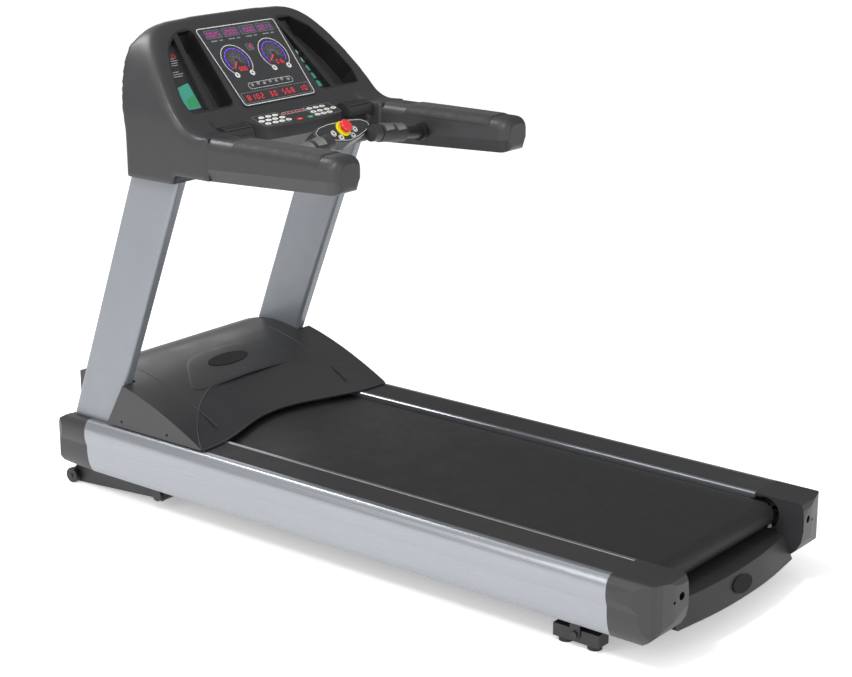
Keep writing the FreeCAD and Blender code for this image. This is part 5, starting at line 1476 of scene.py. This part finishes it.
# ------------------------------------------------------------------ CAD finishes
@dataclass(frozen=True)
class Dressing:
    """Gives each CAD node its finish."""

    finishes: dict[str, Finish] = field(default_factory=lambda: {
        "frame_weldment": Finish.POWDER, "frame_brackets": Finish.POWDER,
        "deck_board": Finish.BOARD, "deck_cushions": Finish.RUBBER,
        "running_belt": Finish.RUBBER, "roller_axles": Finish.BRIGHT,
        "side_rail_right": Finish.RAIL, "side_rail_left": Finish.RAIL,
        "hood_cover_right": Finish.COVER, "hood_cover_left": Finish.COVER,
        "upright_right": Finish.SILVER, "upright_left": Finish.SILVER,
        "arm_right": Finish.HOUSING, "arm_left": Finish.HOUSING,
        "step_rails": Finish.RAIL, "step_pads": Finish.STEP,
        "front_caps": Finish.CAP, "rear_caps": Finish.CAP, "rear_apron": Finish.CAP,
        "badges": Finish.GLOSS, "hood": Finish.COVER, "hood_visor": Finish.COVER,
        "console_housing": Finish.HOUSING, "console_back": Finish.HOUSING,
        "pocket_liners": Finish.LINER, "display_panel": Finish.PANEL, "keypad": Finish.HOUSING,
        "keypad_keys": Finish.WHITE_KEY, "vents": Finish.CAP, "arm_caps": Finish.HOUSING,
        "arm_pads": Finish.PAD, "crossbar": Finish.BLACK, "grips": Finish.GRIP,
        "sensor_plates": Finish.SENSOR, "control_pod": Finish.HOUSING,
        "stop_ring": Finish.YELLOW, "lift_motor": Finish.MOTOR, "drive_motor": Finish.MOTOR,
        "drive_belt": Finish.RUBBER, "motor_controller": Finish.SINK,
        "power_inlet": Finish.BLACK, "screws": Finish.OXIDE, "rear_roller": Finish.BRIGHT,
        "front_roller": Finish.BRIGHT, "motor_rotor": Finish.BRIGHT, "lift_arm": Finish.POWDER,
        "lift_wheel_right": Finish.BLACK, "lift_wheel_left": Finish.BLACK,
        "lift_screw": Finish.BRIGHT, "foot_bar_right": Finish.POWDER,
        "foot_bar_left": Finish.POWDER, "foot_pads_right": Finish.RUBBER,
        "foot_pads_left": Finish.RUBBER, "power_switch": Finish.RED,
        "stop_plunger": Finish.RED, "stop_button": Finish.RED, "key_speed_down": Finish.WHITE_KEY,
        "key_speed_up": Finish.WHITE_KEY, "key_incline_down": Finish.WHITE_KEY,
        "key_incline_up": Finish.WHITE_KEY})

    def build(self) -> None:
        """Put each finish in its node's material slots."""
        for name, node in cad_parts.items():
            node.data.materials.clear()
            node.data.materials.append(self.finishes[name].material())
        LOG.info("dressed %d CAD nodes", len(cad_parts))


# ------------------------------------------------------------------ deck
@dataclass(frozen=True)
class RunningBelt:
    """Endless belt over both rollers."""

    thickness_mm: float = 2.5

    def build(self) -> None:
        """Carry the belt's outer and inner lines round the rollers."""
        low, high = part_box("running_belt")
        radius = (high.z - low.z) / 2
        middle = (high.z + low.z) / 2
        rear, front = low.y + radius, high.y - radius
        half = (high.x - low.x) / 2
        quarter = np.radians(np.linspace(90.0, 270.0, 29))
        y = np.concatenate([np.linspace(front, rear, 40), rear + radius * np.cos(quarter[1:]),
                            np.linspace(rear, front, 40)[1:],
                            front - radius * np.cos(quarter[1:-1])])
        z = np.concatenate([np.full(40, radius), radius * np.sin(quarter[1:]),
                            np.full(39, -radius), -radius * np.sin(quarter[1:-1])])
        normal_y = np.concatenate([np.zeros(40), np.cos(quarter[1:]), np.zeros(39),
                                   -np.cos(quarter[1:-1])])
        normal_z = np.concatenate([np.ones(40), np.sin(quarter[1:]), -np.ones(39),
                                   -np.sin(quarter[1:-1])])
        steps = np.hypot(np.diff(y, append=y[0]), np.diff(z, append=z[0]))
        travel = np.concatenate([[0.0], np.cumsum(steps)[:-1]])
        t = self.thickness_mm * MM
        profile = ((-half, 0.0), (-half * 0.5, 0.0), (0.0, 0.0), (half * 0.5, 0.0), (half, 0.0),
                   (half, -t), (-half, -t))
        points = np.stack([np.stack([np.full(y.size, x), y + normal_y * depth,
                                     middle + z + normal_z * depth], axis=-1)
                           for x, depth in profile], axis=1)
        uv = np.stack([np.stack([travel, np.full(y.size, x)], axis=-1) for x, _ in profile], axis=1)
        belt = build("belt_running_face", [Grid(points, True, True, Finish.BELT, uv)], "frame",
                     weld=False)
        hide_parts("running_belt")


def main() -> None:
    """Build the studio, the finishes and the fine pieces, in order."""
    logging.basicConfig(level=logging.INFO, format="%(message)s")
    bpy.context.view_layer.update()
    Studio().build()
    Dressing().build()
    RunningBelt().build()
    ConsoleShell().build()
    Display().build()
    ArmPads().build()
    HoodTrim().build()
    PocketLabels().build()
    KeyPrints().build()


if __name__ == "__main__":
    main()
